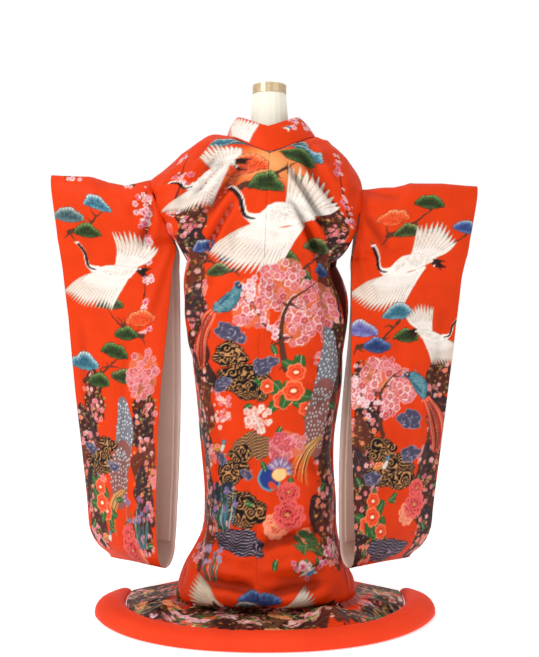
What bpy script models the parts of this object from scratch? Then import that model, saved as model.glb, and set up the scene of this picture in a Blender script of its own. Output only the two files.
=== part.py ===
"""An uchikake wedding kimono, worn by a limbless dress form on a pole stand.

Frame: metres, +Z up, origin on the floor under the form's pole. The garment's back faces -Y,
+X is the wearer's right, and the train spreads on the floor towards -Y.
Each strip of cloth is a thin wall on a smooth surface: u runs across it, from the centre back (0)
to the front edge (1), and rows run down it, from the shoulder to the hem.
"""

import math

import bpy
import numpy as np

# ---- driving sizes ----
CLOTH = 0.0024  # lined silk
BAND = 0.0050  # the doubled collar
LINING = 0.0010
GAP = 0.0003  # between pieces at a seam
LINING_CLEAR = 0.0028  # between the lining and the silk
FLOOR_Z = 0.0016  # the middle of cloth that lies on the floor
ROUNDNESS = 2.25  # exponent of the body's oval sections

# Where the seams lie across a half body, as shares of its width.
SIDE_SEAM = 0.46
COLLAR_SEAM = 0.84
COLLAR_END_ROW = 6.0  # the ring where the collar stops
LAST_RING = 18

# ---- the body below the arms: one row for each ring, from the armpit to the hem ----
RING_COLUMNS = (
    "z_back z_side z_front x_left x_right x_right_front y_back y_front seam_x sweep okumi"
).split()
RINGS = np.array(
    [
        # zb     zs     zf     xl     xr     xrf    yb     yf     seam    sweep  okumi
        (0.970, 0.970, 0.970, 0.236, 0.172, 0.182, 0.168, 0.165, -0.014, 177.7, 0.815),
        (0.915, 0.915, 0.915, 0.243, 0.178, 0.208, 0.174, 0.160, -0.018, 177.7, 0.800),
        (0.860, 0.860, 0.860, 0.244, 0.200, 0.222, 0.172, 0.155, -0.022, 177.7, 0.785),
        (0.790, 0.790, 0.790, 0.241, 0.216, 0.219, 0.168, 0.150, -0.026, 177.7, 0.770),
        (0.700, 0.700, 0.700, 0.222, 0.206, 0.206, 0.165, 0.150, -0.030, 177.7, 0.750),
        (0.600, 0.600, 0.600, 0.207, 0.197, 0.197, 0.160, 0.148, -0.033, 177.7, 0.735),
        (0.490, 0.490, 0.490, 0.192, 0.181, 0.181, 0.155, 0.145, -0.035, 177.7, 0.720),
        (0.390, 0.390, 0.390, 0.181, 0.178, 0.178, 0.153, 0.145, -0.036, 177.5, 0.715),
        (0.290, 0.290, 0.290, 0.177, 0.184, 0.184, 0.158, 0.150, -0.036, 175.5, 0.710),
        (0.200, 0.200, 0.205, 0.186, 0.190, 0.190, 0.170, 0.168, -0.036, 170.0, 0.710),
        (0.120, 0.115, 0.130, 0.236, 0.216, 0.216, 0.190, 0.205, -0.034, 161.0, 0.710),
        (0.065, 0.060, 0.070, 0.258, 0.238, 0.238, 0.204, 0.275, -0.030, 150.0, 0.710),
        (0.036, 0.030, 0.032, 0.266, 0.246, 0.246, 0.200, 0.350, -0.028, 141.0, 0.710),
        (0.020, 0.017, 0.018, 0.263, 0.243, 0.243, 0.168, 0.362, -0.026, 139.0, 0.710),
        (0.0145, 0.0125, 0.013, 0.262, 0.242, 0.242, 0.148, 0.368, -0.026, 138.0, 0.710),
        (0.0045, 0.0045, 0.005, 0.265, 0.245, 0.245, 0.148, 0.374, -0.026, 137.0, 0.710),
        (0.0016, 0.0016, 0.0016, 0.285, 0.265, 0.265, 0.185, 0.376, -0.024, 133.0, 0.710),
        (0.0016, 0.0016, 0.0060, 0.340, 0.318, 0.318, 0.290, 0.350, -0.018, 117.0, 0.710),
        (0.0080, 0.0080, 0.0080, 0.405, 0.382, 0.382, 0.402, 0.300, -0.010, 98.0, 0.710),
    ]
)

# ---- soft folds of the body: side -1 is left, 0 is both; u and rows as above; depth along the normal ----
FOLD_COLUMNS = "side u drift width depth row_from row_to".split()
FOLDS = np.array(
    [
        # side    u    drift  width  depth   from  to
        (-1, 0.355, 0.000, 0.035, -0.022, -0.6, 4.0),  # back, beside the left armhole
        (+1, 0.330, 0.000, 0.035, -0.026, -0.6, 3.5),  # back, beside the right armhole
        (-1, 0.230, -0.004, 0.050, 0.006, 2.0, 10.0),
        (+1, 0.200, 0.006, 0.050, 0.005, 3.0, 10.5),
        (0, 0.560, 0.004, 0.035, -0.016, 1.0, 11.0),  # front pleats
        (0, 0.650, 0.002, 0.030, -0.014, 1.5, 11.0),
        (0, 0.490, 0.000, 0.030, 0.008, 4.0, 10.0),
    ]
)

# ---- ridges of the cloth that lies on the floor: height above it ----
RIDGE_COLUMNS = "side u drift width height row_from row_to".split()
RIDGES = np.array(
    [
        # side   u     drift  width  height  from   to
        (-1, 0.540, -0.030, 0.060, 0.026, 16.05, 18.2),
        (+1, 0.310, -0.020, 0.095, 0.038, 16.05, 18.0),
        (-1, 0.180, 0.010, 0.050, 0.014, 16.10, 17.9),
        (-1, 0.050, 0.005, 0.040, 0.010, 16.10, 17.9),
        (+1, 0.720, -0.010, 0.050, 0.012, 16.20, 18.0),
    ]
)

# ---- the yoke: shoulders, neckline and armholes of each side ----
NAPE = (0.135, 1.262)  # how far back and how high the collar seam is at the centre back
NAPE_AT = 0.30  # the share of the yoke's rows that the back neckline takes
ARM_LOW_AT = 0.88  # where on the yoke's rows the armhole ends
ARM_HALF = 0.050  # half the thickness of the filled armhole
FRONT_SEAM_U = 0.815  # the front panel's inner edge at the armpit ring
YOKE = {
    -1: dict(neck=(0.122, 1.322), arm_top=(0.345, 1.205), arm_low=(0.271, 1.023), hump=(0.060, 0.8, 1.8, 3.1)),
    +1: dict(neck=(0.134, 1.322), arm_top=(0.264, 1.178), arm_low=(0.238, 0.992), hump=(0.095, 0.7, 0.5, 1.0)),
}

# ---- sleeves: one row for each level, h is the share of the way down ----
SLEEVE_COLUMNS = "h x_outer y_outer x_near y_near x_far y_far open".split()
SLEEVES = {
    -1: np.array(
        [
            # h     xo     yo      xn     yn      xf     yf     open
            (0.000, 0.628, 0.000, 0.345, 0.000, 0.345, 0.000, 0.022),
            (0.167, 0.606, 0.000, 0.271, -0.030, 0.271, 0.030, 0.022),
            (0.240, 0.596, 0.002, 0.277, -0.045, 0.262, 0.020, 0.004),
            (0.370, 0.580, 0.008, 0.288, -0.062, 0.258, 0.002, 0.004),
            (0.570, 0.562, 0.022, 0.306, -0.092, 0.255, -0.020, 0.004),
            (0.750, 0.542, 0.036, 0.312, -0.116, 0.258, -0.040, 0.004),
            (0.900, 0.528, 0.045, 0.312, -0.130, 0.264, -0.056, 0.006),
            (1.000, 0.524, 0.045, 0.306, -0.134, 0.270, -0.066, 0.008),
        ]
    ),
    +1: np.array(
        [
            (0.000, 0.598, 0.000, 0.264, 0.000, 0.264, 0.000, 0.022),
            (0.179, 0.568, 0.000, 0.238, -0.030, 0.238, 0.030, 0.022),
            (0.240, 0.554, 0.002, 0.234, -0.048, 0.236, 0.018, 0.004),
            (0.370, 0.538, 0.008, 0.232, -0.062, 0.230, -0.004, 0.004),
            (0.570, 0.514, 0.020, 0.228, -0.088, 0.209, -0.026, 0.004),
            (0.750, 0.492, 0.034, 0.231, -0.110, 0.198, -0.046, 0.004),
            (0.900, 0.474, 0.044, 0.234, -0.128, 0.197, -0.060, 0.006),
            (1.000, 0.470, 0.045, 0.234, -0.134, 0.200, -0.070, 0.008),
        ]
    ),
}
# The height of the sleeve's top edge, from the armhole to the cuff, and of its bottom edge.
SLEEVE_TOP = {
    -1: [(0.0, 1.205), (0.25, 1.189), (0.42, 1.197), (0.60, 1.216), (1.0, 1.219)],
    +1: [(0.0, 1.178), (0.28, 1.178), (0.42, 1.195), (0.70, 1.196), (1.0, 1.187)],
}
SLEEVE_BOTTOM = 0.112
TOP_ROUND = 0.045  # the share of the way down over which the top fold opens
CORNER = 0.105  # radius of the round outer corner
CLOSE_FROM = 0.955  # where the two layers turn in to the bottom seam
BELLY_NEAR = 0.020
BELLY_FAR = 0.034

# ---- padded hem roll ----
HEM_HALF = 0.045
HEM_HEIGHT = 0.040
HEM_SHIFT = 0.048  # its middle line, out from the last ring
HEM_SWEEP = 1.0

# ---- dress form: one row for each oval section ----
FORM_COLUMNS = "z x y shift".split()
FORM = np.array(
    [
        (0.735, 0.090, 0.070, 0.000),
        (0.760, 0.135, 0.095, 0.000),
        (0.850, 0.160, 0.112, 0.000),
        (0.930, 0.145, 0.100, 0.000),
        (1.020, 0.122, 0.088, 0.000),
        (1.110, 0.138, 0.098, 0.002),
        (1.170, 0.148, 0.094, 0.000),
        (1.230, 0.156, 0.078, 0.000),
        (1.262, 0.146, 0.062, 0.000),
        (1.290, 0.108, 0.055, 0.000),
        (1.318, 0.072, 0.055, 0.000),
        (1.345, 0.0590, 0.0560, 0.000),
        (1.385, 0.0535, 0.0520, 0.000),
        (1.452, 0.0475, 0.0465, 0.000),
    ]
)
BAND_TOP = 1.477
POLE_R = 0.0125
BASE_R = 0.118
BASE_THICK = 0.014
ROD_R = 0.010
ROD_IN = {-1: (0.168, 1.145), +1: (0.168, 1.128)}  # where each sleeve rod leaves the form: x, z
ROD_OUT = {-1: (0.606, 1.168), +1: (0.575, 1.148)}


def column(table, names, name):
    """One named column of a table."""
    return table[:, names.index(name)]


def smooth(table, at):
    """The table's row at a fractional index, on a Catmull-Rom curve."""
    last = len(table) - 1
    at = min(max(at, 0.0), float(last))
    i = min(int(at), last - 1)
    t = at - i
    p0, p1, p2, p3 = table[max(i - 1, 0)], table[i], table[i + 1], table[min(i + 2, last)]
    even = 2 * p0 - 5 * p1 + 4 * p2 - p3
    odd = -p0 + 3 * p1 - 3 * p2 + p3
    return 0.5 * (2 * p1 + (p2 - p0) * t + even * t * t + odd * t**3)


def mix(a, b, t):
    return a + (b - a) * t


def ease(t):
    t = min(max(t, 0.0), 1.0)
    return t * t * (3 - 2 * t)


def bump(side, u, row, table):
    """The sum of a table's folds at a place on the body."""
    total = 0.0
    for fold_side, at, drift, width, size, first, last in table:
        if fold_side and fold_side != side:
            continue
        if not first < row < last:
            continue
        middle = at + drift * (row - first)
        along = math.sin(math.pi * (row - first) / (last - first)) ** 0.6
        total += size * along * math.exp(-(((u - middle) / width) ** 2))
    return total


def ring_point(side, u, row, front=False):
    """A point of the body's middle surface, at or below the armpit."""
    r = dict(zip(RING_COLUMNS, smooth(RINGS, row)))
    reach = r["x_left"] if side < 0 else r["x_right"]
    if side > 0 and front:
        reach = r["x_right_front"]
    angle = math.radians(r["sweep"]) * u
    s, c = abs(math.sin(angle)), math.cos(angle)
    depth = r["y_back"] if c > 0 else r["y_front"]
    radius = ((s / reach) ** ROUNDNESS + (abs(c) / depth) ** ROUNDNESS) ** (-1 / ROUNDNESS)
    radius += bump(side, u, row, FOLDS)
    top = r["z_back"] if c > 0 else r["z_front"]
    z = mix(r["z_side"], top, c * c) + max(bump(side, u, row, RIDGES), 0.0)
    x = side * radius * s + r["seam_x"] * max(c, 0.0) ** 2
    return np.array((x, -radius * c, max(z, FLOOR_Z)))


def okumi_u(row):
    return float(smooth(RINGS, row)[RING_COLUMNS.index("okumi")])


def arm_edge(side, half, v):
    """The armhole edge of the body. half is -1 at the back and +1 at the front."""
    yoke = YOKE[side]
    k = min(v / ARM_LOW_AT, 1.0)
    x = mix(yoke["arm_top"][0], yoke["arm_low"][0], k**1.15)
    z = mix(yoke["arm_top"][1], yoke["arm_low"][1], k)
    y = half * (ARM_HALF * math.sin(math.pi * k) ** 0.6 + 0.030 * k)
    return np.array((side * x, y, z))


def arm_normal(side, half, v):
    """The normal that the body and the sleeve share along the armhole."""
    e = 0.01
    if v < e:
        return np.array((0.0, 0.0, 1.0))
    along = arm_edge(side, half, min(v + e, ARM_LOW_AT)) - arm_edge(side, half, v - e)
    return _unit(-half * np.cross((-1.0, 0.0, 0.0), along))


def neck_edge(side, half, v):
    """The inner edge of the yoke: the back neckline and centre back, or the front collar seam."""
    neck_x, neck_z = YOKE[side]["neck"]
    if half > 0:
        end = ring_point(side, FRONT_SEAM_U, 0, True)
        a = v * math.pi / 2
        x = mix(neck_x, abs(end[0]), 1 - math.cos(a))
        return np.array((side * x, end[1] * math.sin(a), mix(neck_z, end[2], v**1.15)))
    if v <= NAPE_AT:
        a = v / NAPE_AT * math.pi / 2
        z = mix(NAPE[1], neck_z, math.cos(a) ** 1.3)
        return np.array((side * neck_x * math.cos(a), -NAPE[0] * math.sin(a), z))
    k = (v - NAPE_AT) / (1 - NAPE_AT)
    end = ring_point(side, 0.0, 0)
    y = mix(-NAPE[0], end[1], math.sin(k * math.pi / 2))
    return np.array((end[0] * k, y, mix(NAPE[1], end[2], k)))


def yoke_point(side, half, c, v):
    """A point above the armpit. c is 0 at the neck or centre and 1 at the armhole; v is 0 at the shoulder."""
    inner, outer = neck_edge(side, half, v), arm_edge(side, half, v)
    u = mix(0.0 if half < 0 else FRONT_SEAM_U, SIDE_SEAM, c)
    target = ring_point(side, u, 0, half > 0)
    if v > ARM_LOW_AT:
        side_point = ring_point(side, SIDE_SEAM, 0, half > 0)
        outer = mix(outer, side_point, ease((v - ARM_LOW_AT) / (1 - ARM_LOW_AT)))
    height, a, b, scale = YOKE[side]["hump"]
    p = mix(inner, outer, c)
    p[2] += scale * height * c**a * (1 - c) ** b * (1 - v) ** 2
    p[1] = mix(inner[1], outer[1], 1 - (1 - c**2.4) ** (1 / 2.4))
    p[1] -= half * abs(bump(side, u, v - 1, FOLDS))
    return mix(p, target, ease((v - 0.55) / 0.45))


def body_point(side, half, c, row, inner_u, outer_u):
    """A point of a body strip. Rows under 0 are the yoke, and -1 is the shoulder."""
    if row < 0:
        return yoke_point(side, half, c, row + 1)
    return ring_point(side, mix(inner_u, outer_u, c), row, half > 0)


def sleeve_top(side, c):
    at, z = zip(*SLEEVE_TOP[side])
    return float(np.interp(c, at, z))


def sleeve_point(side, half, c, h):
    """A point of a sleeve. half is -1 on the layer that faces back; c is 0 beside the body and 1 at the cuff."""
    table = SLEEVES[side]
    at = float(np.interp(h, column(table, SLEEVE_COLUMNS, "h"), range(len(table))))
    r = dict(zip(SLEEVE_COLUMNS, smooth(table, at)))
    arm_h = table[1][0]
    if h < arm_h:
        edge = arm_edge(side, half, h / arm_h * ARM_LOW_AT)
        inner_x, inner_y = abs(edge[0]) + GAP * 1.5, edge[1]
    else:
        near = half < 0
        inner_x, inner_y = (r["x_near"], r["y_near"]) if near else (r["x_far"], r["y_far"])
    top = sleeve_top(side, c)
    z = mix(top, SLEEVE_BOTTOM, h)
    outer_x = r["x_outer"]
    drop = SLEEVE_BOTTOM + CORNER - z
    if drop > 0:
        outer_x -= CORNER - math.sqrt(CORNER**2 - min(drop, 0.9 * CORNER) ** 2)
    opened = math.sqrt(max(1 - (1 - min(h / TOP_ROUND, 1.0)) ** 2, 0.0))
    belly = (BELLY_NEAR if half < 0 else BELLY_FAR) * opened
    y = mix(inner_y, r["y_outer"] + half * r["open"] * opened, c)
    y += half * belly * max(math.sin(math.pi * c), 0.0) ** 0.8
    x = mix(inner_x, outer_x, c)
    if h > CLOSE_FROM:
        other_x, other_y = (r["x_far"], r["y_far"]) if half < 0 else (r["x_near"], r["y_near"])
        middle = mix(0.5 * (inner_y + other_y), r["y_outer"], c) + 0.3 * (BELLY_FAR - BELLY_NEAR) * math.sin(math.pi * c)
        k = (h - CLOSE_FROM) / (1 - CLOSE_FROM)
        shut = (1 - math.sqrt(max(1 - k * k, 0.0))) * (1 - 0.6 * c**4)
        x = mix(x, mix(0.5 * (inner_x + other_x), outer_x, c), shut)
        y = mix(y, middle + half * (CLOTH / 2 + 3 * GAP), shut)
    return np.array((side * x, y, z))


def collar_fold(side, half, v):
    """The free folded edge of the collar beside the yoke."""
    if half < 0:
        a = v / NAPE_AT * math.pi / 2
        return np.array((side * 0.090 * math.cos(a) - 0.004, -0.116 * math.sin(a), mix(1.339, 1.380, math.cos(a) ** 1.3)))
    end = ring_point(side, 1.0, 0, True)
    a = v * math.pi / 2
    x = mix(0.090, abs(end[0]), math.sin(a) ** 1.2)
    return np.array((side * x - 0.004 * (1 - v), (end[1] + 0.004) * math.sin(a), mix(1.380, end[2], v**1.1)))


# ---------------------------------------------------------------- solids
def paint(obj, name, colour, roughness, metallic=0.0):
    material = bpy.data.materials.get(name) or bpy.data.materials.new(name)
    material.use_nodes = True
    shader = material.node_tree.nodes["Principled BSDF"]
    shader.inputs["Base Color"].default_value = (*colour, 1.0)
    shader.inputs["Roughness"].default_value = roughness
    shader.inputs["Metallic"].default_value = metallic
    obj.data.materials.append(material)


def add_object(name, points, faces, look):
    mesh = bpy.data.meshes.new(name)
    mesh.from_pydata([tuple(p) for p in points], [], faces)
    mesh.validate()
    mesh.shade_smooth()
    mesh.set_sharp_from_angle(angle=math.radians(40))
    obj = bpy.data.objects.new(name, mesh)
    bpy.context.scene.collection.objects.link(obj)
    paint(obj, *look)
    return obj


def grid_normals(grid):
    """Unit normals of a grid of points, averaged over the faces round each."""
    rows, cols = grid.shape[:2]
    total = np.zeros_like(grid)
    for i in range(rows - 1):
        for j in range(cols - 1):
            a, b, c, d = grid[i, j], grid[i, j + 1], grid[i + 1, j + 1], grid[i + 1, j]
            n = np.cross(c - a, d - b)
            n /= max(np.linalg.norm(n), 1e-12)
            for p, q in ((i, j), (i, j + 1), (i + 1, j + 1), (i + 1, j)):
                total[p, q] += n
    return total / np.maximum(np.linalg.norm(total, axis=2, keepdims=True), 1e-9)


def ring_normal(side, u, row, front):
    """The body's unit normal below the armpit, the same for both pieces at a seam."""
    e = 0.004
    if u < 2 * e:
        u = 0.0
        return np.array((0.0, *_unit(_slopes(side, u, row, e, front)[1:])))
    return _unit(_slopes(side, u, row, e, front))


def _slopes(side, u, row, e, front):
    across = ring_point(side, u + e, row, front) - ring_point(side, max(u - e, 0.0), row, front)
    low, high = max(row - 0.1, 0.0), min(row + 0.1, LAST_RING)
    down = ring_point(side, u, high, front) - ring_point(side, u, low, front)
    return -side * np.cross(across, down)


def _unit(vector):
    return vector / max(np.linalg.norm(vector), 1e-12)


def wall(name, grid, thick, look, normals=None):
    """A closed wall of a given thickness on a grid of points."""
    grid = np.array(grid)
    rows, cols = grid.shape[:2]
    if normals is None:
        normals = grid_normals(grid)
    normals = normals * thick / 2
    count = rows * cols
    points = np.concatenate([(grid + normals).reshape(-1, 3), (grid - normals).reshape(-1, 3)])
    faces = []
    for i in range(rows - 1):
        for j in range(cols - 1):
            a, b, c, d = i * cols + j, i * cols + j + 1, (i + 1) * cols + j + 1, (i + 1) * cols + j
            faces += [(a, b, c), (a, c, d)]
            faces += [(c + count, b + count, a + count), (d + count, c + count, a + count)]
    rim = [j for j in range(cols)]
    rim += [i * cols + cols - 1 for i in range(1, rows)]
    rim += [(rows - 1) * cols + j for j in range(cols - 2, -1, -1)]
    rim += [i * cols for i in range(rows - 2, 0, -1)]
    for a, b in zip(rim, rim[1:] + rim[:1]):
        faces += [(b, a, a + count), (b, a + count, b + count)]
    return add_object(name, points, faces, look)


def tube(name, sections, look):
    """A closed body through closed sections, each with the same number of points."""
    sections = np.array(sections)
    rows, cols = sections.shape[:2]
    faces = []
    for i in range(rows - 1):
        for j in range(cols):
            k = (j + 1) % cols
            faces.append((i * cols + j, i * cols + k, (i + 1) * cols + k, (i + 1) * cols + j))
    faces.append(tuple(reversed(range(cols))))
    faces.append(tuple((rows - 1) * cols + j for j in range(cols)))
    return add_object(name, sections.reshape(-1, 3), faces, look)


SILK = ("silk", (0.83, 0.065, 0.02), 0.45)
SILK_TRIM = ("hem_silk", (0.86, 0.075, 0.03), 0.5)
LINING_LOOK = ("lining", (0.62, 0.50, 0.42), 0.6)
FORM_LOOK = ("form_cover", (0.86, 0.82, 0.70), 0.75)
BRASS = ("brass", (0.72, 0.55, 0.30), 0.3, 1.0)
WOOD = ("wood", (0.45, 0.30, 0.18), 0.5)
STEEL = ("stand_steel", (0.55, 0.55, 0.56), 0.35, 0.9)

YOKE_ROWS = [-1, -0.96, -0.89, -0.80, -0.70, -0.56, -0.42, -0.27, -0.12]
RING_ROWS = [0, 1, 2, 3, 4, 5, 6, 7, 8, 9, 10, 11, 11.5, 12, 12.5, 13, 13.6, 14, 15, 15.5, 16, 16.5, 17, 17.5, 18]
BODY_COLS = 8
SEAM = 0.5 * GAP / 0.40  # half a seam's gap, as a share of a half body's width


def strip_rows(side, half):
    """The rows of one half of a body strip, from the shoulder to the hem, and its normals below the armpit."""
    rows, normals = [], []
    for row in YOKE_ROWS + RING_ROWS:
        inner = SEAM if half < 0 else okumi_u(max(row, 0)) - SEAM
        outer = SIDE_SEAM - SEAM if half < 0 else SIDE_SEAM + SEAM
        shares = np.linspace(0, 1, BODY_COLS)
        line = [body_point(side, half, c, row, inner, outer) for c in shares]
        if row < 0 and half < 0:
            line[0] = line[0] + np.array((side * GAP / 2, 0, 0))
        rows.append(line)
        normals.append([ring_normal(side, mix(inner, outer, c), max(row, 0), half > 0) for c in shares])
    return rows, normals


def body_strip(side, name):
    """One bolt width from the back hem, over the shoulder, to the front hem."""
    back, back_normals = strip_rows(side, -1)
    front, front_normals = strip_rows(side, +1)
    grid = np.array(list(reversed(back)) + front[1:])
    known = np.array(list(reversed(back_normals)) + front_normals[1:])
    normals = grid_normals(grid) * side
    middle = len(back)
    reach = len(YOKE_ROWS)
    normals[:middle, 0, 0] = 0.0
    normals /= np.linalg.norm(normals, axis=2, keepdims=True)
    normals[: middle - reach] = known[: middle - reach]
    normals[middle - 1 + reach :] = known[middle - 1 + reach :]
    for k, row in enumerate(YOKE_ROWS):
        if row + 1 <= ARM_LOW_AT:
            normals[middle - 1 - k, -1] = arm_normal(side, -1, row + 1)
            normals[middle - 1 + k, -1] = arm_normal(side, +1, row + 1)
    if side < 0:
        grid, normals = grid[:, ::-1], normals[:, ::-1]
    return wall(name, grid, CLOTH, SILK, normals)


def okumi(side, name):
    """The narrow front panel, with the step where the collar ends."""
    rows, normals = [], []
    for row in [0, 1, 2, 3, 4, 5, COLLAR_END_ROW - 0.03, COLLAR_END_ROW + 0.03] + RING_ROWS[7:]:
        outer = COLLAR_SEAM - SEAM if row < COLLAR_END_ROW else 1.0
        shares = np.linspace(okumi_u(row) + SEAM, outer, 5)
        rows.append([ring_point(side, u, row, True) for u in shares])
        normals.append([ring_normal(side, u, row, True) for u in shares])
    rows, normals = np.array(rows), np.array(normals)
    if side > 0:
        rows, normals = rows[:, ::-1], normals[:, ::-1]
    return wall(name, rows, CLOTH, SILK, normals)


def collar():
    """One folded band from the left front, round the neck, to the right front."""
    stations = []
    for side in (-1, +1):
        half_path = []
        for row in [COLLAR_END_ROW - 0.08, 5, 4, 3, 2, 1, 0]:
            seam_edge = ring_point(side, COLLAR_SEAM + 0.004, row, True)
            fold_edge = ring_point(side, 1.0, row, True)
            half_path.append((seam_edge, fold_edge))
        for v in (0.86, 0.72, 0.58, 0.44, 0.31, 0.19, 0.09):
            half_path.append((neck_edge(side, +1, v), collar_fold(side, +1, v)))
        for v in (0.0, 0.05, 0.10, 0.15, 0.20, 0.25):
            half_path.append((neck_edge(side, -1, v), collar_fold(side, -1, v)))
        stations.append(half_path)
    middle = [(neck_edge(-1, -1, NAPE_AT), collar_fold(-1, -1, NAPE_AT))]
    path = stations[0] + middle + list(reversed(stations[1]))
    grid = []
    for seam_edge, fold_edge in path:
        across = fold_edge - seam_edge
        width = np.linalg.norm(across)
        start = seam_edge + across * (0.0035 / width)
        out = np.array((0.0, 0.0, 1.0)) if seam_edge[2] > 1.25 else np.zeros(3)
        grid.append([mix(start, fold_edge, t) + out * 0.006 * math.sin(math.pi * t) for t in np.linspace(0, 1, 4)])
    return wall("collar", grid, BAND, SILK)


SLEEVE_H = [0, 0.006, 0.018, 0.035, 0.06, 0.10, 0.14, 0.175, 0.21, 0.25, 0.32, 0.40, 0.50, 0.60, 0.70, 0.79, 0.86]
SLEEVE_H += [0.90, 0.93, 0.955, 0.972, 0.985, 0.995, 1.0]
SLEEVE_C = [0, 0.15, 0.32, 0.50, 0.68, 0.84, 0.94, 1.0]


def sleeve_layer(side, half):
    return [[sleeve_point(side, half, c, h) for c in SLEEVE_C] for h in SLEEVE_H]


def sleeve(side, name):
    """One bolt width folded over the top of the sleeve."""
    grid = np.array(list(reversed(sleeve_layer(side, -1))) + sleeve_layer(side, +1)[1:])
    normals = grid_normals(grid) * side
    middle = len(SLEEVE_H) - 1
    for k, h in enumerate(SLEEVE_H):
        v = h / SLEEVES[side][1][0] * ARM_LOW_AT
        if v <= ARM_LOW_AT + 0.001:
            normals[middle - k, 0] = arm_normal(side, -1, v)
            normals[middle + k, 0] = arm_normal(side, +1, v)
    if side < 0:
        grid, normals = grid[:, ::-1], normals[:, ::-1]
    return wall(name, grid, CLOTH, SILK, normals)


def sleeve_lining(side, name):
    """The lining that shows through the sleeve's open inner side, a little inside the silk."""
    inset = CLOTH / 2 + LINING / 2 + LINING_CLEAR
    far = np.array(sleeve_layer(side, +1))
    normals = grid_normals(far) * side
    kept = [i for i, h in enumerate(SLEEVE_H) if 0.17 < h < 0.96]
    grid = (far - normals * inset)[kept]
    grid[:, 0] = mix(grid[:, 0], grid[:, 1], 0.25)
    normals[:, 0] = mix(normals[:, 0], normals[:, 1], 0.25)
    grid, normals = grid[:, :-2], -normals[kept][:, :-2]
    if side < 0:
        return wall(name, grid, LINING, LINING_LOOK, normals)
    return wall(name, grid[:, ::-1], LINING, LINING_LOOK, normals[:, ::-1])


def hem_roll():
    """The padded hem: a roll with a flat underside along the last ring."""
    stations = 45
    sections = []
    for i in range(stations):
        t = 2 * i / (stations - 1) - 1
        side = -1 if t < 0 else 1
        u = abs(t)
        p = ring_point(side, min(u, 1.0), LAST_RING)
        a = ring_point(side, max(u - 0.02, 0.0), LAST_RING)
        b = ring_point(side, min(u + 0.02, 1.0), LAST_RING)
        along = (b - a) * side
        along[2] = 0
        if u < 0.02:
            along = np.array((1.0, 0.0, 0.0))
        along /= np.linalg.norm(along)
        out = np.array((along[1], -along[0], 0.0))
        taper = 1 - 0.60 * max(0.0, (u - 0.66) / 0.34) ** 1.5
        middle = p + out * (HEM_SHIFT - HEM_HALF * (1 - taper))
        outline = []
        for k in range(10):
            a = math.pi * k / 9
            across = -math.cos(a) * HEM_HALF * taper
            up = math.sin(a) ** 0.75 * HEM_HEIGHT * taper if 0 < k < 9 else 0.004
            outline.append(middle + out * across + np.array((0, 0, up - middle[2])))
        outline.append(middle + out * HEM_HALF * 0.8 * taper - np.array((0, 0, middle[2])))
        outline.append(middle - out * HEM_HALF * 0.8 * taper - np.array((0, 0, middle[2])))
        sections.append(outline)
    return tube("hem_roll", sections, SILK_TRIM)


def oval(z, x, y, shift, count=20):
    angles = np.arange(count) * 2 * math.pi / count
    return [(x * math.cos(a), shift + y * math.sin(a), z) for a in angles]


def turned(name, profile, look, count=20):
    """A turned piece: profile is (radius, z) from the bottom up."""
    return tube(name, [oval(z, r, r, 0, count) for r, z in profile], look)


def dress_form():
    sections = []
    for at in np.linspace(0, len(FORM) - 1, 25):
        z, x, y, shift = smooth(FORM, float(at))
        sections.append(oval(z, x, y, shift))
    tube("form_torso", sections, FORM_LOOK)
    top = FORM[-1]
    band_r = top[1] + 0.0012
    turned("neck_band", [(band_r, top[0] + GAP), (band_r, BAND_TOP)], BRASS, 24)
    cap = [(band_r - 0.002, GAP), (band_r - 0.003, 0.002), (band_r - 0.012, 0.005), (band_r - 0.030, 0.0075)]
    turned("neck_cap", [(r, BAND_TOP + z) for r, z in cap], WOOD, 24)
    turned("stand_pole", [(POLE_R, BASE_THICK + GAP), (POLE_R, FORM[0][0] - GAP)], STEEL, 16)
    base = [(BASE_R, 0), (BASE_R, BASE_THICK * 0.5), (BASE_R * 0.93, BASE_THICK)]
    turned("stand_base", base, STEEL, 32)


def sleeve_rod(side, name):
    """The plain rod that holds a sleeve out from the form."""
    (x0, z0), (x1, z1) = ROD_IN[side], ROD_OUT[side]
    sections = []
    for x, z in ((x0, z0), (x1, z1)):
        ring = [
            (side * x, ROD_R * math.cos(a), z + ROD_R * math.sin(a))
            for a in (np.arange(12) * side * 2 * math.pi / 12)
        ]
        sections.append(ring)
    tube(name, sections, WOOD)


def main():
    for obj in list(bpy.data.objects):
        bpy.data.objects.remove(obj)
    for side, word in ((-1, "left"), (+1, "right")):
        body_strip(side, f"body_{word}")
        okumi(side, f"okumi_{word}")
        sleeve(side, f"sleeve_{word}")
        sleeve_lining(side, f"sleeve_lining_{word}")
        sleeve_rod(side, f"sleeve_rod_{word}")
    collar()
    hem_roll()
    dress_form()


main()
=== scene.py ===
"""Looks of the uchikake: the cloth pieces in their drape, the figured design, and the stand.

The cloth's tables and functions repeat the CAD's, so that each piece lies where its solid is. The design is
drawn with strokes, petals and feathers in centimetres on flat cloth, then carried to the mesh as colours,
which are darkened with painted shade in the creases of the folds.
"""

import math

import bpy
import numpy as np
from mathutils import Matrix


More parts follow.
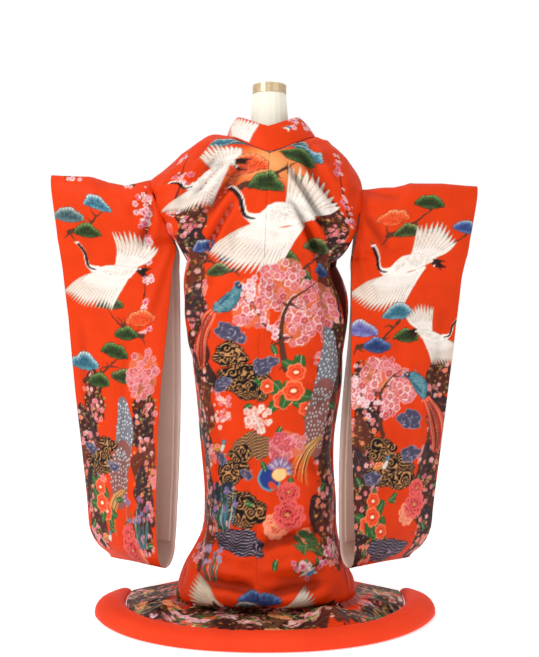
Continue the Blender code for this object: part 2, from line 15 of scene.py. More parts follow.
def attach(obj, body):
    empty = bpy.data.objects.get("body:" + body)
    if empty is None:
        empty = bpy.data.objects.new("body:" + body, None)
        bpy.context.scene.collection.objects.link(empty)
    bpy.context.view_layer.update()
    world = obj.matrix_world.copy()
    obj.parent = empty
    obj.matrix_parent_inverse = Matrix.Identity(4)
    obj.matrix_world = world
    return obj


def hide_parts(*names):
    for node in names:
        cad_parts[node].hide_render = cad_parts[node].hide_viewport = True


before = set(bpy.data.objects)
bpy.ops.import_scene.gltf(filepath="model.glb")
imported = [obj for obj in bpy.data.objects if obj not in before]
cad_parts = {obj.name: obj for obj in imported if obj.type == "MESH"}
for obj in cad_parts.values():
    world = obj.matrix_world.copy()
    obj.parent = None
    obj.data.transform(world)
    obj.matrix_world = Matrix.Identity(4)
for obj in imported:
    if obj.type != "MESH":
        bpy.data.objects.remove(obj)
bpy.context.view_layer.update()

# ---- driving sizes ----
CLOTH = 0.0024  # lined silk
BAND = 0.0050  # the doubled collar
LINING = 0.0010
GAP = 0.0003  # between pieces at a seam
LINING_CLEAR = 0.0028  # between the lining and the silk
FLOOR_Z = 0.0016  # the middle of cloth that lies on the floor
ROUNDNESS = 2.25  # exponent of the body's oval sections

# Where the seams lie across a half body, as shares of its width.
SIDE_SEAM = 0.46
COLLAR_SEAM = 0.84
COLLAR_END_ROW = 6.0  # the ring where the collar stops
LAST_RING = 18

# ---- the body below the arms: one row for each ring, from the armpit to the hem ----
RING_COLUMNS = (
    "z_back z_side z_front x_left x_right x_right_front y_back y_front seam_x sweep okumi"
).split()
RINGS = np.array(
    [
        # zb     zs     zf     xl     xr     xrf    yb     yf     seam    sweep  okumi
        (0.970, 0.970, 0.970, 0.236, 0.172, 0.182, 0.168, 0.165, -0.014, 177.7, 0.815),
        (0.915, 0.915, 0.915, 0.243, 0.178, 0.208, 0.174, 0.160, -0.018, 177.7, 0.800),
        (0.860, 0.860, 0.860, 0.244, 0.200, 0.222, 0.172, 0.155, -0.022, 177.7, 0.785),
        (0.790, 0.790, 0.790, 0.241, 0.216, 0.219, 0.168, 0.150, -0.026, 177.7, 0.770),
        (0.700, 0.700, 0.700, 0.222, 0.206, 0.206, 0.165, 0.150, -0.030, 177.7, 0.750),
        (0.600, 0.600, 0.600, 0.207, 0.197, 0.197, 0.160, 0.148, -0.033, 177.7, 0.735),
        (0.490, 0.490, 0.490, 0.192, 0.181, 0.181, 0.155, 0.145, -0.035, 177.7, 0.720),
        (0.390, 0.390, 0.390, 0.181, 0.178, 0.178, 0.153, 0.145, -0.036, 177.5, 0.715),
        (0.290, 0.290, 0.290, 0.177, 0.184, 0.184, 0.158, 0.150, -0.036, 175.5, 0.710),
        (0.200, 0.200, 0.205, 0.186, 0.190, 0.190, 0.170, 0.168, -0.036, 170.0, 0.710),
        (0.120, 0.115, 0.130, 0.236, 0.216, 0.216, 0.190, 0.205, -0.034, 161.0, 0.710),
        (0.065, 0.060, 0.070, 0.258, 0.238, 0.238, 0.204, 0.275, -0.030, 150.0, 0.710),
        (0.036, 0.030, 0.032, 0.266, 0.246, 0.246, 0.200, 0.350, -0.028, 141.0, 0.710),
        (0.020, 0.017, 0.018, 0.263, 0.243, 0.243, 0.168, 0.362, -0.026, 139.0, 0.710),
        (0.0145, 0.0125, 0.013, 0.262, 0.242, 0.242, 0.148, 0.368, -0.026, 138.0, 0.710),
        (0.0045, 0.0045, 0.005, 0.265, 0.245, 0.245, 0.148, 0.374, -0.026, 137.0, 0.710),
        (0.0016, 0.0016, 0.0016, 0.285, 0.265, 0.265, 0.185, 0.376, -0.024, 133.0, 0.710),
        (0.0016, 0.0016, 0.0060, 0.340, 0.318, 0.318, 0.290, 0.350, -0.018, 117.0, 0.710),
        (0.0080, 0.0080, 0.0080, 0.405, 0.382, 0.382, 0.402, 0.300, -0.010, 98.0, 0.710),
    ]
)

# ---- soft folds of the body: side -1 is left, 0 is both; u and rows as above; depth along the normal ----
FOLDS = np.array(
    [
        # side    u    drift  width  depth   from  to
        (-1, 0.355, 0.000, 0.035, -0.022, -0.6, 4.0),  # back, beside the left armhole
        (+1, 0.330, 0.000, 0.035, -0.026, -0.6, 3.5),  # back, beside the right armhole
        (-1, 0.230, -0.004, 0.050, 0.006, 2.0, 10.0),
        (+1, 0.200, 0.006, 0.050, 0.005, 3.0, 10.5),
        (0, 0.560, 0.004, 0.035, -0.016, 1.0, 11.0),  # front pleats
        (0, 0.650, 0.002, 0.030, -0.014, 1.5, 11.0),
        (0, 0.490, 0.000, 0.030, 0.008, 4.0, 10.0),
    ]
)

# ---- ridges of the cloth that lies on the floor: height above it ----
RIDGES = np.array(
    [
        # side   u     drift  width  height  from   to
        (-1, 0.540, -0.030, 0.060, 0.026, 16.05, 18.2),
        (+1, 0.310, -0.020, 0.095, 0.038, 16.05, 18.0),
        (-1, 0.180, 0.010, 0.050, 0.014, 16.10, 17.9),
        (-1, 0.050, 0.005, 0.040, 0.010, 16.10, 17.9),
        (+1, 0.720, -0.010, 0.050, 0.012, 16.20, 18.0),
    ]
)

# ---- the yoke: shoulders, neckline and armholes of each side ----
NAPE = (0.135, 1.262)  # how far back and how high the collar seam is at the centre back
NAPE_AT = 0.30  # the share of the yoke's rows that the back neckline takes
ARM_LOW_AT = 0.88  # where on the yoke's rows the armhole ends
ARM_HALF = 0.050  # half the thickness of the filled armhole
FRONT_SEAM_U = 0.815  # the front panel's inner edge at the armpit ring
YOKE = {
    -1: dict(
        neck=(0.122, 1.322), arm_top=(0.345, 1.205), arm_low=(0.271, 1.023),
        hump=(0.060, 0.8, 1.8, 3.1),
    ),
    +1: dict(
        neck=(0.134, 1.322), arm_top=(0.264, 1.178), arm_low=(0.238, 0.992),
        hump=(0.095, 0.7, 0.5, 1.0),
    ),
}

# ---- sleeves: one row for each level, h is the share of the way down ----
SLEEVE_COLUMNS = "h x_outer y_outer x_near y_near x_far y_far open".split()
SLEEVES = {
    -1: np.array(
        [
            # h     xo     yo      xn     yn      xf     yf     open
            (0.000, 0.628, 0.000, 0.345, 0.000, 0.345, 0.000, 0.022),
            (0.167, 0.606, 0.000, 0.271, -0.030, 0.271, 0.030, 0.022),
            (0.240, 0.596, 0.002, 0.277, -0.045, 0.262, 0.020, 0.004),
            (0.370, 0.580, 0.008, 0.288, -0.062, 0.258, 0.002, 0.004),
            (0.570, 0.562, 0.022, 0.306, -0.092, 0.255, -0.020, 0.004),
            (0.750, 0.542, 0.036, 0.312, -0.116, 0.258, -0.040, 0.004),
            (0.900, 0.528, 0.045, 0.312, -0.130, 0.264, -0.056, 0.006),
            (1.000, 0.524, 0.045, 0.306, -0.134, 0.270, -0.066, 0.008),
        ]
    ),
    +1: np.array(
        [
            (0.000, 0.598, 0.000, 0.264, 0.000, 0.264, 0.000, 0.022),
            (0.179, 0.568, 0.000, 0.238, -0.030, 0.238, 0.030, 0.022),
            (0.240, 0.554, 0.002, 0.234, -0.048, 0.236, 0.018, 0.004),
            (0.370, 0.538, 0.008, 0.232, -0.062, 0.230, -0.004, 0.004),
            (0.570, 0.514, 0.020, 0.228, -0.088, 0.209, -0.026, 0.004),
            (0.750, 0.492, 0.034, 0.231, -0.110, 0.198, -0.046, 0.004),
            (0.900, 0.474, 0.044, 0.234, -0.128, 0.197, -0.060, 0.006),
            (1.000, 0.470, 0.045, 0.234, -0.134, 0.200, -0.070, 0.008),
        ]
    ),
}
# The height of the sleeve's top edge, from the armhole to the cuff, and of its bottom edge.
SLEEVE_TOP = {
    -1: [(0.0, 1.205), (0.25, 1.189), (0.42, 1.197), (0.60, 1.216), (1.0, 1.219)],
    +1: [(0.0, 1.178), (0.28, 1.178), (0.42, 1.195), (0.70, 1.196), (1.0, 1.187)],
}
SLEEVE_BOTTOM = 0.112
TOP_ROUND = 0.045  # the share of the way down over which the top fold opens
CORNER = 0.105  # radius of the round outer corner
CLOSE_FROM = 0.955  # where the two layers turn in to the bottom seam
BELLY_NEAR = 0.020
BELLY_FAR = 0.034

# ---- padded hem roll ----
HEM_HALF = 0.045
HEM_HEIGHT = 0.040
HEM_SHIFT = 0.048  # its middle line, out from the last ring

def column(table, names, name):
    """One named column of a table."""
    return table[:, names.index(name)]


def smooth(table, at):
    """The table's row at a fractional index, on a Catmull-Rom curve."""
    last = len(table) - 1
    at = min(max(at, 0.0), float(last))
    i = min(int(at), last - 1)
    t = at - i
    p0, p1, p2, p3 = table[max(i - 1, 0)], table[i], table[i + 1], table[min(i + 2, last)]
    even = 2 * p0 - 5 * p1 + 4 * p2 - p3
    odd = -p0 + 3 * p1 - 3 * p2 + p3
    return 0.5 * (2 * p1 + (p2 - p0) * t + even * t * t + odd * t**3)


def mix(a, b, t):
    return a + (b - a) * t


def ease(t):
    t = min(max(t, 0.0), 1.0)
    return t * t * (3 - 2 * t)


def bump(side, u, row, table):
    """The sum of a table's folds at a place on the body."""
    total = 0.0
    for fold_side, at, drift, width, size, first, last in table:
        if fold_side and fold_side != side:
            continue
        if not first < row < last:
            continue
        middle = at + drift * (row - first)
        along = math.sin(math.pi * (row - first) / (last - first)) ** 0.6
        total += size * along * math.exp(-(((u - middle) / width) ** 2))
    return total


def ring_point(side, u, row, front=False):
    """A point of the body's middle surface, at or below the armpit."""
    r = dict(zip(RING_COLUMNS, smooth(RINGS, row)))
    reach = r["x_left"] if side < 0 else r["x_right"]
    if side > 0 and front:
        reach = r["x_right_front"]
    angle = math.radians(r["sweep"]) * u
    s, c = abs(math.sin(angle)), math.cos(angle)
    depth = r["y_back"] if c > 0 else r["y_front"]
    radius = ((s / reach) ** ROUNDNESS + (abs(c) / depth) ** ROUNDNESS) ** (-1 / ROUNDNESS)
    radius += bump(side, u, row, FOLDS)
    top = r["z_back"] if c > 0 else r["z_front"]
    z = mix(r["z_side"], top, c * c) + max(bump(side, u, row, RIDGES), 0.0)
    x = side * radius * s + r["seam_x"] * max(c, 0.0) ** 2
    return np.array((x, -radius * c, max(z, FLOOR_Z)))


def okumi_u(row):
    return float(smooth(RINGS, row)[RING_COLUMNS.index("okumi")])


def arm_edge(side, half, v):
    """The armhole edge of the body. half is -1 at the back and +1 at the front."""
    yoke = YOKE[side]
    k = min(v / ARM_LOW_AT, 1.0)
    x = mix(yoke["arm_top"][0], yoke["arm_low"][0], k**1.15)
    z = mix(yoke["arm_top"][1], yoke["arm_low"][1], k)
    y = half * (ARM_HALF * math.sin(math.pi * k) ** 0.6 + 0.030 * k)
    return np.array((side * x, y, z))


def neck_edge(side, half, v):
    """The inner edge of the yoke: the back neckline and centre back, or the front collar seam."""
    neck_x, neck_z = YOKE[side]["neck"]
    if half > 0:
        end = ring_point(side, FRONT_SEAM_U, 0, True)
        a = v * math.pi / 2
        x = mix(neck_x, abs(end[0]), 1 - math.cos(a))
        return np.array((side * x, end[1] * math.sin(a), mix(neck_z, end[2], v**1.15)))
    if v <= NAPE_AT:
        a = v / NAPE_AT * math.pi / 2
        z = mix(NAPE[1], neck_z, math.cos(a) ** 1.3)
        return np.array((side * neck_x * math.cos(a), -NAPE[0] * math.sin(a), z))
    k = (v - NAPE_AT) / (1 - NAPE_AT)
    end = ring_point(side, 0.0, 0)
    y = mix(-NAPE[0], end[1], math.sin(k * math.pi / 2))
    return np.array((end[0] * k, y, mix(NAPE[1], end[2], k)))


def yoke_point(side, half, c, v):
    """A point above the armpit: c runs from the neck to the armhole, v down from the shoulder."""
    inner, outer = neck_edge(side, half, v), arm_edge(side, half, v)
    u = mix(0.0 if half < 0 else FRONT_SEAM_U, SIDE_SEAM, c)
    target = ring_point(side, u, 0, half > 0)
    if v > ARM_LOW_AT:
        side_point = ring_point(side, SIDE_SEAM, 0, half > 0)
        outer = mix(outer, side_point, ease((v - ARM_LOW_AT) / (1 - ARM_LOW_AT)))
    height, a, b, scale = YOKE[side]["hump"]
    p = mix(inner, outer, c)
    p[2] += scale * height * c**a * (1 - c) ** b * (1 - v) ** 2
    p[1] = mix(inner[1], outer[1], 1 - (1 - c**2.4) ** (1 / 2.4))
    p[1] -= half * abs(bump(side, u, v - 1, FOLDS))
    return mix(p, target, ease((v - 0.55) / 0.45))


def body_point(side, half, c, row, inner_u, outer_u):
    """A point of a body strip. Rows under 0 are the yoke, and -1 is the shoulder."""
    if row < 0:
        return yoke_point(side, half, c, row + 1)
    return ring_point(side, mix(inner_u, outer_u, c), row, half > 0)


def sleeve_top(side, c):
    at, z = zip(*SLEEVE_TOP[side])
    return float(np.interp(c, at, z))


def sleeve_point(side, half, c, h):
    """A point of a sleeve: half is -1 on the layer that faces back, c runs from body to cuff."""
    table = SLEEVES[side]
    at = float(np.interp(h, column(table, SLEEVE_COLUMNS, "h"), range(len(table))))
    r = dict(zip(SLEEVE_COLUMNS, smooth(table, at)))
    arm_h = table[1][0]
    if h < arm_h:
        edge = arm_edge(side, half, h / arm_h * ARM_LOW_AT)
        inner_x, inner_y = abs(edge[0]) + GAP * 1.5, edge[1]
    else:
        near = half < 0
        inner_x, inner_y = (r["x_near"], r["y_near"]) if near else (r["x_far"], r["y_far"])
    top = sleeve_top(side, c)
    z = mix(top, SLEEVE_BOTTOM, h)
    outer_x = r["x_outer"]
    drop = SLEEVE_BOTTOM + CORNER - z
    if drop > 0:
        outer_x -= CORNER - math.sqrt(CORNER**2 - min(drop, 0.9 * CORNER) ** 2)
    opened = math.sqrt(max(1 - (1 - min(h / TOP_ROUND, 1.0)) ** 2, 0.0))
    belly = (BELLY_NEAR if half < 0 else BELLY_FAR) * opened
    y = mix(inner_y, r["y_outer"] + half * r["open"] * opened, c)
    y += half * belly * max(math.sin(math.pi * c), 0.0) ** 0.8
    x = mix(inner_x, outer_x, c)
    if h > CLOSE_FROM:
        other_x, other_y = (r["x_far"], r["y_far"]) if half < 0 else (r["x_near"], r["y_near"])
        middle = mix(
            0.5 * (inner_y + other_y), r["y_outer"], c,
        ) + 0.3 * (BELLY_FAR - BELLY_NEAR) * math.sin(math.pi * c)
        k = (h - CLOSE_FROM) / (1 - CLOSE_FROM)
        shut = (1 - math.sqrt(max(1 - k * k, 0.0))) * (1 - 0.6 * c**4)
        x = mix(x, mix(0.5 * (inner_x + other_x), outer_x, c), shut)
        y = mix(y, middle + half * (CLOTH / 2 + 3 * GAP), shut)
    return np.array((side * x, y, z))


def collar_fold(side, half, v):
    """The free folded edge of the collar beside the yoke."""
    if half < 0:
        a = v / NAPE_AT * math.pi / 2
        return np.array((
            side * 0.090 * math.cos(a) - 0.004, -0.116 * math.sin(a),
            mix(1.339, 1.380, math.cos(a) ** 1.3),
        ))
    end = ring_point(side, 1.0, 0, True)
    a = v * math.pi / 2
    x = mix(0.090, abs(end[0]), math.sin(a) ** 1.2)
    return np.array((
        side * x - 0.004 * (1 - v), (end[1] + 0.004) * math.sin(a), mix(1.380, end[2], v**1.1),
    ))


SEAM = 0.5 * GAP / 0.40  # half a seam's gap, as a share of a half body's width
SLEEVE_H = [
    0, 0.006, 0.018, 0.035, 0.06, 0.10, 0.14, 0.175, 0.21, 0.25, 0.32, 0.40, 0.50, 0.60, 0.70, 0.79,
    0.86,
]
SLEEVE_H += [0.90, 0.93, 0.955, 0.972, 0.985, 0.995, 1.0]


# ---------------------------------------------------------------- dense cloth from a control grid
def spline_weights(at, count):
    """Rows of Catmull-Rom weights on `count` control points, at fractional indices."""
    at = np.clip(np.asarray(at, float), 0, count - 1)
    i = np.minimum(at.astype(int), count - 2)
    t = at - i
    w = np.zeros((len(at), count))
    parts = (
        (i - 1, -0.5 * t + t**2 - 0.5 * t**3),
        (i, 1 - 2.5 * t**2 + 1.5 * t**3),
        (i + 1, 0.5 * t + 2 * t**2 - 1.5 * t**3),
        (i + 2, -0.5 * t**2 + 0.5 * t**3),
    )
    for index, value in parts:
        np.add.at(w, (np.arange(len(at)), np.clip(index, 0, count - 1)), value)
    return w


def even_stops(lengths, cell, multiple):
    """Fractional indices that space a line of given step lengths evenly, in a multiple of steps."""
    along = np.concatenate([[0], np.cumsum(lengths)])
    steps = max(int(round(along[-1] / cell / multiple)), 1) * multiple
    return np.interp(np.linspace(0, along[-1], steps + 1), along, np.arange(len(along)))


def dense(control, values, rows_at, cols_at):
    """The control grid and its values at the fractional row and column stops."""
    wr, wc = spline_weights(rows_at, control.shape[0]), spline_weights(cols_at, control.shape[1])
    points = np.einsum("ri,ijk,cj->rck", wr, control, wc, optimize=True)
    rows, cols = np.arange(control.shape[0]), np.arange(control.shape[1])
    out = []
    for value in values:
        by_row = np.array([np.interp(rows_at, rows, value[:, j]) for j in cols]).T
        out.append(np.array([np.interp(cols_at, cols, line) for line in by_row]))
    return points, out


def normals_of(points):
    n = np.cross(np.gradient(points, axis=1), np.gradient(points, axis=0))
    return n / np.maximum(np.linalg.norm(n, axis=2, keepdims=True), 1e-12)


def shell_mesh(name, outer, inner, step, outside, inside):
    """A closed wall. The outer grid is dense, and the inner one has every step-th row and column."""
    r, c = outer.shape[:2]
    inner = inner[::step, ::step]
    ri, ci = inner.shape[:2]
    base = r * c
    a = (np.arange(r - 1)[:, None] * c + np.arange(c - 1)).ravel()
    quads = np.stack([a, a + 1, a + c + 1, a + c], 1)
    b = (np.arange(ri - 1)[:, None] * ci + np.arange(ci - 1)).ravel() + base
    back = np.stack([b + ci, b + ci + 1, b + 1, b], 1)
    rim = []
    edges = (
        ([j for j in range(c)], [base + j for j in range(ci)]),
        ([i * c + c - 1 for i in range(r)], [base + i * ci + ci - 1 for i in range(ri)]),
        (
            [(r - 1) * c + j for j in reversed(range(c))],
            [base + (ri - 1) * ci + j for j in reversed(range(ci))],
        ),
        ([i * c for i in reversed(range(r))], [base + i * ci for i in reversed(range(ri))]),
    )
    for fine, coarse in edges:
        for k in range(len(coarse) - 1):
            for m in range(step):
                corner = coarse[k] if m < step // 2 else coarse[k + 1]
                rim.append((fine[k * step + m + 1], fine[k * step + m], corner))
            rim.append((fine[k * step + step // 2], coarse[k], coarse[k + 1]))
    mesh = bpy.data.meshes.new(name)
    points = np.concatenate([outer.reshape(-1, 3), inner.reshape(-1, 3)])
    faces = [quads, back, np.array(rim)]
    loops = np.concatenate([f.ravel() for f in faces])
    sizes = np.concatenate([np.full(len(f), f.shape[1]) for f in faces])
    mesh.vertices.add(len(points))
    mesh.vertices.foreach_set("co", points.astype(np.float32).ravel())
    mesh.loops.add(len(loops))
    mesh.loops.foreach_set("vertex_index", loops.astype(np.int32))
    mesh.polygons.add(len(sizes))
    mesh.polygons.foreach_set("loop_start", np.concatenate([[0], np.cumsum(sizes)[:-1]]).astype(np.int32))
    slots = np.zeros(len(sizes), np.int32)
    slots[len(quads) : len(quads) + len(back)] = inside[1]
    slots[len(quads) + len(back) :] = 0
    mesh.polygons.foreach_set("material_index", slots)
    mesh.update(calc_edges=True)
    mesh.validate()
    mesh.shade_smooth()
    return mesh


def paint_points(mesh, outer_count, colours, relief, inner_colour):
    """Colour and relief on the points: the design outside, with any painted crease shade the caller has put
    in its colours, and one colour inside.
    """
    total = len(mesh.vertices)
    rgba = np.ones((total, 4), np.float32)
    rgba[:outer_count, :3] = colours.reshape(-1, 3)
    rgba[outer_count:, :3] = inner_colour
    layer = mesh.color_attributes.new("design_and_crease_shade", "FLOAT_COLOR", "POINT")
    layer.data.foreach_set("color", rgba.ravel())
    lift = np.zeros(total, np.float32)
    lift[:outer_count] = relief.ravel()
    mesh.attributes.new("Thread", "FLOAT", "POINT").data.foreach_set("value", lift)


def show(name, mesh, materials, slot, *nodes):
    obj = bpy.data.objects.new(name, mesh)
    bpy.context.scene.collection.objects.link(obj)
    for material in materials:
        mesh.materials.append(material)
    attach(obj, "root")
    if nodes:
        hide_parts(*nodes)
    return obj

# ---- the design's places and the looks' settings ----
BODY_S = 0.58  # half the robe's width on the flat cloth, from the centre back to the front edge
SLEEVE_S = 0.33
SLEEVE_T = 1.107
INNER_SILK = (0.42, 0.028, 0.012)
LINING_RGB = (0.66, 0.50, 0.42)
WORLD_LIGHT = 0.60
LIGHTS = [
    # name, place, turn in degrees, size, watts
    ("key", (-2.0, -2.2, 2.7), (50, 0, -42), (0.9, 0.9), 56),
    ("fill", (2.0, -2.6, 1.7), (68, 0, 38), (1.8, 1.8), 12),
    ("top", (0.0, 0.0, 3.2), (0, 0, 0), (2.5, 2.5), 16),
    ("behind", (0.0, 3.0, 1.8), (-72, 0, 0), (2.5, 2.0), 10),
]
def crease_fan(first, last, count, width, depth, seed):
    """Creases between two lines of places on the flat cloth, in metres; each line is (near end, far end)."""
    rng = np.random.default_rng(seed)
    fan = []
    for k in range(count):
        share = (k + rng.uniform(-0.25, 0.25)) / max(count - 1, 1)
        ends = [tuple((1 - share) * np.array(near) + share * np.array(far)) for near, far in (first, last)]
        fan.append((*ends, width * rng.uniform(0.85, 1.2), depth * rng.uniform(0.6, 1.2) * (-1) ** k))
    return fan


def body_creases(seed):
    """From the collar to the armhole, across the waist, down the skirt and round its foot."""
    return [
        *crease_fan(((0.05, 0.10), (0.08, 0.30)), ((0.20, 0.20), (0.20, 0.50)), 6, 0.013, 0.009, seed),
        *crease_fan(((0.05, 0.60), (0.12, 0.90)), ((0.18, 0.66), (0.22, 1.05)), 3, 0.015, 0.004, seed + 1),
        *crease_fan(((0.00, 1.20), (0.00, 1.38)), ((0.20, 1.16), (0.20, 1.36)), 4, 0.015, 0.009, seed + 2),
    ]


def sleeve_creases(seed):
    """From the armhole into the sleeve, then long hanging ones."""
    return [
        *crease_fan(((0.00, 0.00), (0.00, 0.15)), ((0.12, 0.05), (0.08, 0.40)), 3, 0.013, 0.007, seed),
        *crease_fan(((0.15, 0.35), (0.27, 0.35)), ((0.18, 1.00), (0.28, 0.95)), 2, 0.021, 0.004, seed + 1),
    ]


BODY_FOLDS = {side: body_creases(40 + 5 * side) for side in (-1, +1)}
SLEEVE_FOLDS = {side: sleeve_creases(60 + 5 * side) for side in (-1, +1)}


# ---------------------------------------------------------------- the cloth, piece by piece
FINE = 0.0028
STEP = 4


def noise_field(shape, cells, seed):
    """Smooth noise from -1 to 1 on a grid, with the given number of cells each way."""
    rng = np.random.default_rng(seed)
    knots = rng.uniform(-1, 1, (cells[0] + 2, cells[1] + 2))
    wr = spline_weights(np.linspace(0, cells[0], shape[0]), cells[0] + 2)
    wc = spline_weights(np.linspace(0, cells[1], shape[1]), cells[1] + 2)
    return wr @ knots @ wc.T


def soft_fold(s, t, start, end, width, depth):
    """A long soft fold between two places on the flat cloth, in metres, that dies away at its ends."""
    a, b = np.array(start), np.array(end)
    d = b - a
    length = np.hypot(*d)
    d = d / length
    along = ((s - a[0]) * d[0] + (t - a[1]) * d[1]) / length
    off = (s - a[0]) * -d[1] + (t - a[1]) * d[0]
    swell = np.clip(1 - np.abs(2 * along - 1) ** 3, 0, 1)
    crease = np.exp(-((off / width) ** 2)) - 0.55 * np.exp(-(((off - 1.7 * width) / width) ** 2))
    return depth * swell * crease


def body_control(side):
    """Control points of a body strip with their places on the flat cloth."""
    yoke = [-1 + k / 26 for k in range(26)]
    rings = [k / 4 for k in range(4 * LAST_RING + 1)]
    shares = np.linspace(0, 1, 31)
    halves = []
    for half in (-1, +1):
        points, flat = [], []
        for row in yoke + rings:
            inner = 0.3 * SEAM if half < 0 else okumi_u(max(row, 0)) - SEAM
            outer = SIDE_SEAM - SEAM if half < 0 else SIDE_SEAM + SEAM
            line = [body_point(side, half, c, row, inner, outer) for c in shares]
            if row < 0 and half < 0:
                line[0] = line[0] + np.array((side * GAP / 2, 0, 0))
            points.append(line)
            flat.append([mix(inner, outer, c) for c in shares])
        points, flat = np.array(points), np.array(flat)
        middle = points[:, 10]
        down = np.concatenate([[0], np.cumsum(np.linalg.norm(np.diff(middle, axis=0), axis=1))])
        halves.append((points, flat * side * BODY_S, np.repeat(down[:, None], len(shares), 1)))
    return halves


def row_stops(points, column, cell, multiple=STEP):
    return even_stops(np.linalg.norm(np.diff(points[:, column], axis=0), axis=1), cell, multiple)


def col_stops(points, row, cell, multiple=STEP):
    return even_stops(np.linalg.norm(np.diff(points[row], axis=0), axis=1), cell, multiple)


def shown_cloth(name, parts, cols_at, facing, cloth, sampler, folds, inside, materials, slot, *nodes):
    """Builds one piece of cloth from its parts, each (points, s, t, row stops), top to bottom."""
    grids, s_all, t_all = [], [], []
    for points, s, t, rows_at in parts:
        grid, (sg, tg) = dense(points, (s, t), rows_at, cols_at)
        first = 1 if grids else 0
        grids.append(grid[first:])
        s_all.append(sg[first:])
        t_all.append(tg[first:])
    grid, s, t = np.concatenate(grids), np.concatenate(s_all), np.concatenate(t_all)
    normals = normals_of(grid) * facing
    depth = folds(s, t, grid)
    grid = grid + normals * depth[..., None]
    normals = normals_of(grid) * facing
    colours, relief = sampler(s, t, grid)
    # Painted shade: the design colours are darkened, down to 45 %, where the folds sink the cloth more than
    # 1 mm, standing in for the shade in the creases.
    colours = colours * np.clip(1 + 70 * np.minimum(depth + 0.0010, 0), 0.45, 1)[..., None]
    outer = grid + normals * (cloth / 2 + relief * 0.0006)[..., None]
    inner = grid - normals * (cloth / 2)
    outer[..., 2] = np.maximum(outer[..., 2], 0.0026)
    inner[..., 2] = np.maximum(inner[..., 2], 0.0004)
    if facing < 0:
        outer, inner, colours, relief = outer[:, ::-1], inner[:, ::-1], colours[:, ::-1], relief[:, ::-1]
    mesh = shell_mesh(name, outer, inner, STEP, 0, (0, 1))
    paint_points(mesh, outer.shape[0] * outer.shape[1], colours, relief, inside)
    obj = show(name, mesh, materials, slot, *nodes)
    return obj


def make_body(side, word, sampler, materials):
    back, front = body_control(side)
    cols_at = col_stops(back[0], 60, FINE)
    back_rows = row_stops(back[0], 10, FINE)
    front_rows = row_stops(front[0], 10, FINE * 3.2)
    turned = [g[::-1] for g in back]
    parts = [(*turned, (len(back[0]) - 1 - back_rows)[::-1]), (*front, front_rows)]

    def folds(s, t, grid):
        total = 0.0034 * noise_field(s.shape, (52, 9), 5 + side)
        for start, end, width, depth in BODY_FOLDS[side]:
            total += soft_fold(np.abs(s), t, start, end, width, 1.2 * depth) * (grid[..., 1] < 0.02)
        floor = np.clip((0.06 - grid[..., 2]) / 0.05, 0, 1)
        total = total * (1 - floor)
        rise = np.clip(np.hypot(grid[..., 0], grid[..., 1]) - 0.21, 0, 0.06) / 0.06
        crumple = np.maximum(noise_field(s.shape, (60, 14), 11 + side), -0.2) + 0.2
        total += floor * rise * crumple * 0.006 * (grid[..., 1] < 0.0)
        return total * np.clip(np.abs(s) / 0.01, 0, 1)

    obj = shown_cloth(
        f"robe_{word}", parts, cols_at, side, CLOTH, sampler, folds, INNER_SILK, materials, "silk",
        f"body_{word}"
    )
    return obj


def make_okumi(side, word, sampler, materials):
    parts = []
    blocks = ([k / 4 for k in range(24)] + [COLLAR_END_ROW - 0.02], COLLAR_SEAM - SEAM), (
        [COLLAR_END_ROW + 0.02] + [k / 4 for k in range(25, 4 * LAST_RING + 1)],
        1.0,
    )
    start = 0.0
    for rows, outer in blocks:
        points, flat = [], []
        for row in rows:
            shares = np.linspace(okumi_u(row) + SEAM, outer, 9)
            points.append([ring_point(side, u, row, True) for u in shares])
            flat.append(shares * side * BODY_S)
        points = np.array(points)
        down = np.concatenate([[0], np.cumsum(np.linalg.norm(np.diff(points[:, 4], axis=0), axis=1))])
        down = down + 0.36 + start
        start = down[-1] - 0.36
        parts.append((
            points, np.array(flat), np.repeat(down[:, None], 9, 1), row_stops(points, 4, FINE * 2.4),
        ))
    cols_at = col_stops(parts[1][0], 30, FINE * 2)

    def folds(s, t, grid):
        return 0.001 * noise_field(s.shape, (30, 4), 21 + side) * np.clip(
            (grid[..., 2] - 0.02) / 0.05, 0, 1,
        )

    obj = shown_cloth(
        f"overlap_{word}", parts, cols_at, -side, CLOTH, sampler, folds, INNER_SILK, materials, "silk",
        f"okumi_{word}",
    )
    return obj


def make_sleeve(side, word, sampler, materials):
    levels = sorted(set([k / 60 for k in range(61)] + [0.004, 0.010, 0.018, 0.027, 0.038] + SLEEVE_H[-6:]))
    shares = np.linspace(0, 1, 25)
    halves = []
    for half in (-1, +1):
        points = np.array([[sleeve_point(side, half, c, h) for c in shares] for h in levels])
        s = np.repeat(shares[None, :] * SLEEVE_S, len(levels), 0)
        t = half * -1 * np.repeat(np.array(levels)[:, None] * SLEEVE_T, len(shares), 1)
        halves.append((points, s, t))
    near, far = halves
    cols_at = col_stops(near[0], 30, FINE)
    near_rows = row_stops(near[0], 12, FINE)
    far_rows = row_stops(far[0], 12, FINE * 2.6)
    turned = [g[::-1] for g in near]
    parts = [(*turned, (len(levels) - 1 - near_rows)[::-1]), (*far, far_rows)]

    def folds(s, t, grid):
        edges = np.clip(s / 0.02, 0, 1) * np.clip((SLEEVE_S - s) / 0.03, 0, 1)
        ends = np.clip((SLEEVE_T - np.abs(t)) / 0.08, 0, 1)
        total = 0.0014 * noise_field(s.shape, (22, 5), 31 + side)
        for start, end, width, depth in SLEEVE_FOLDS[side]:
            total += soft_fold(s, t, start, end, width, 1.1 * depth)
        return total * edges * ends

    obj = shown_cloth(
        f"hanging_sleeve_{word}", parts, cols_at, side, CLOTH, sampler, folds, LINING_RGB, materials, "silk",
        f"sleeve_{word}",
    )
    return obj


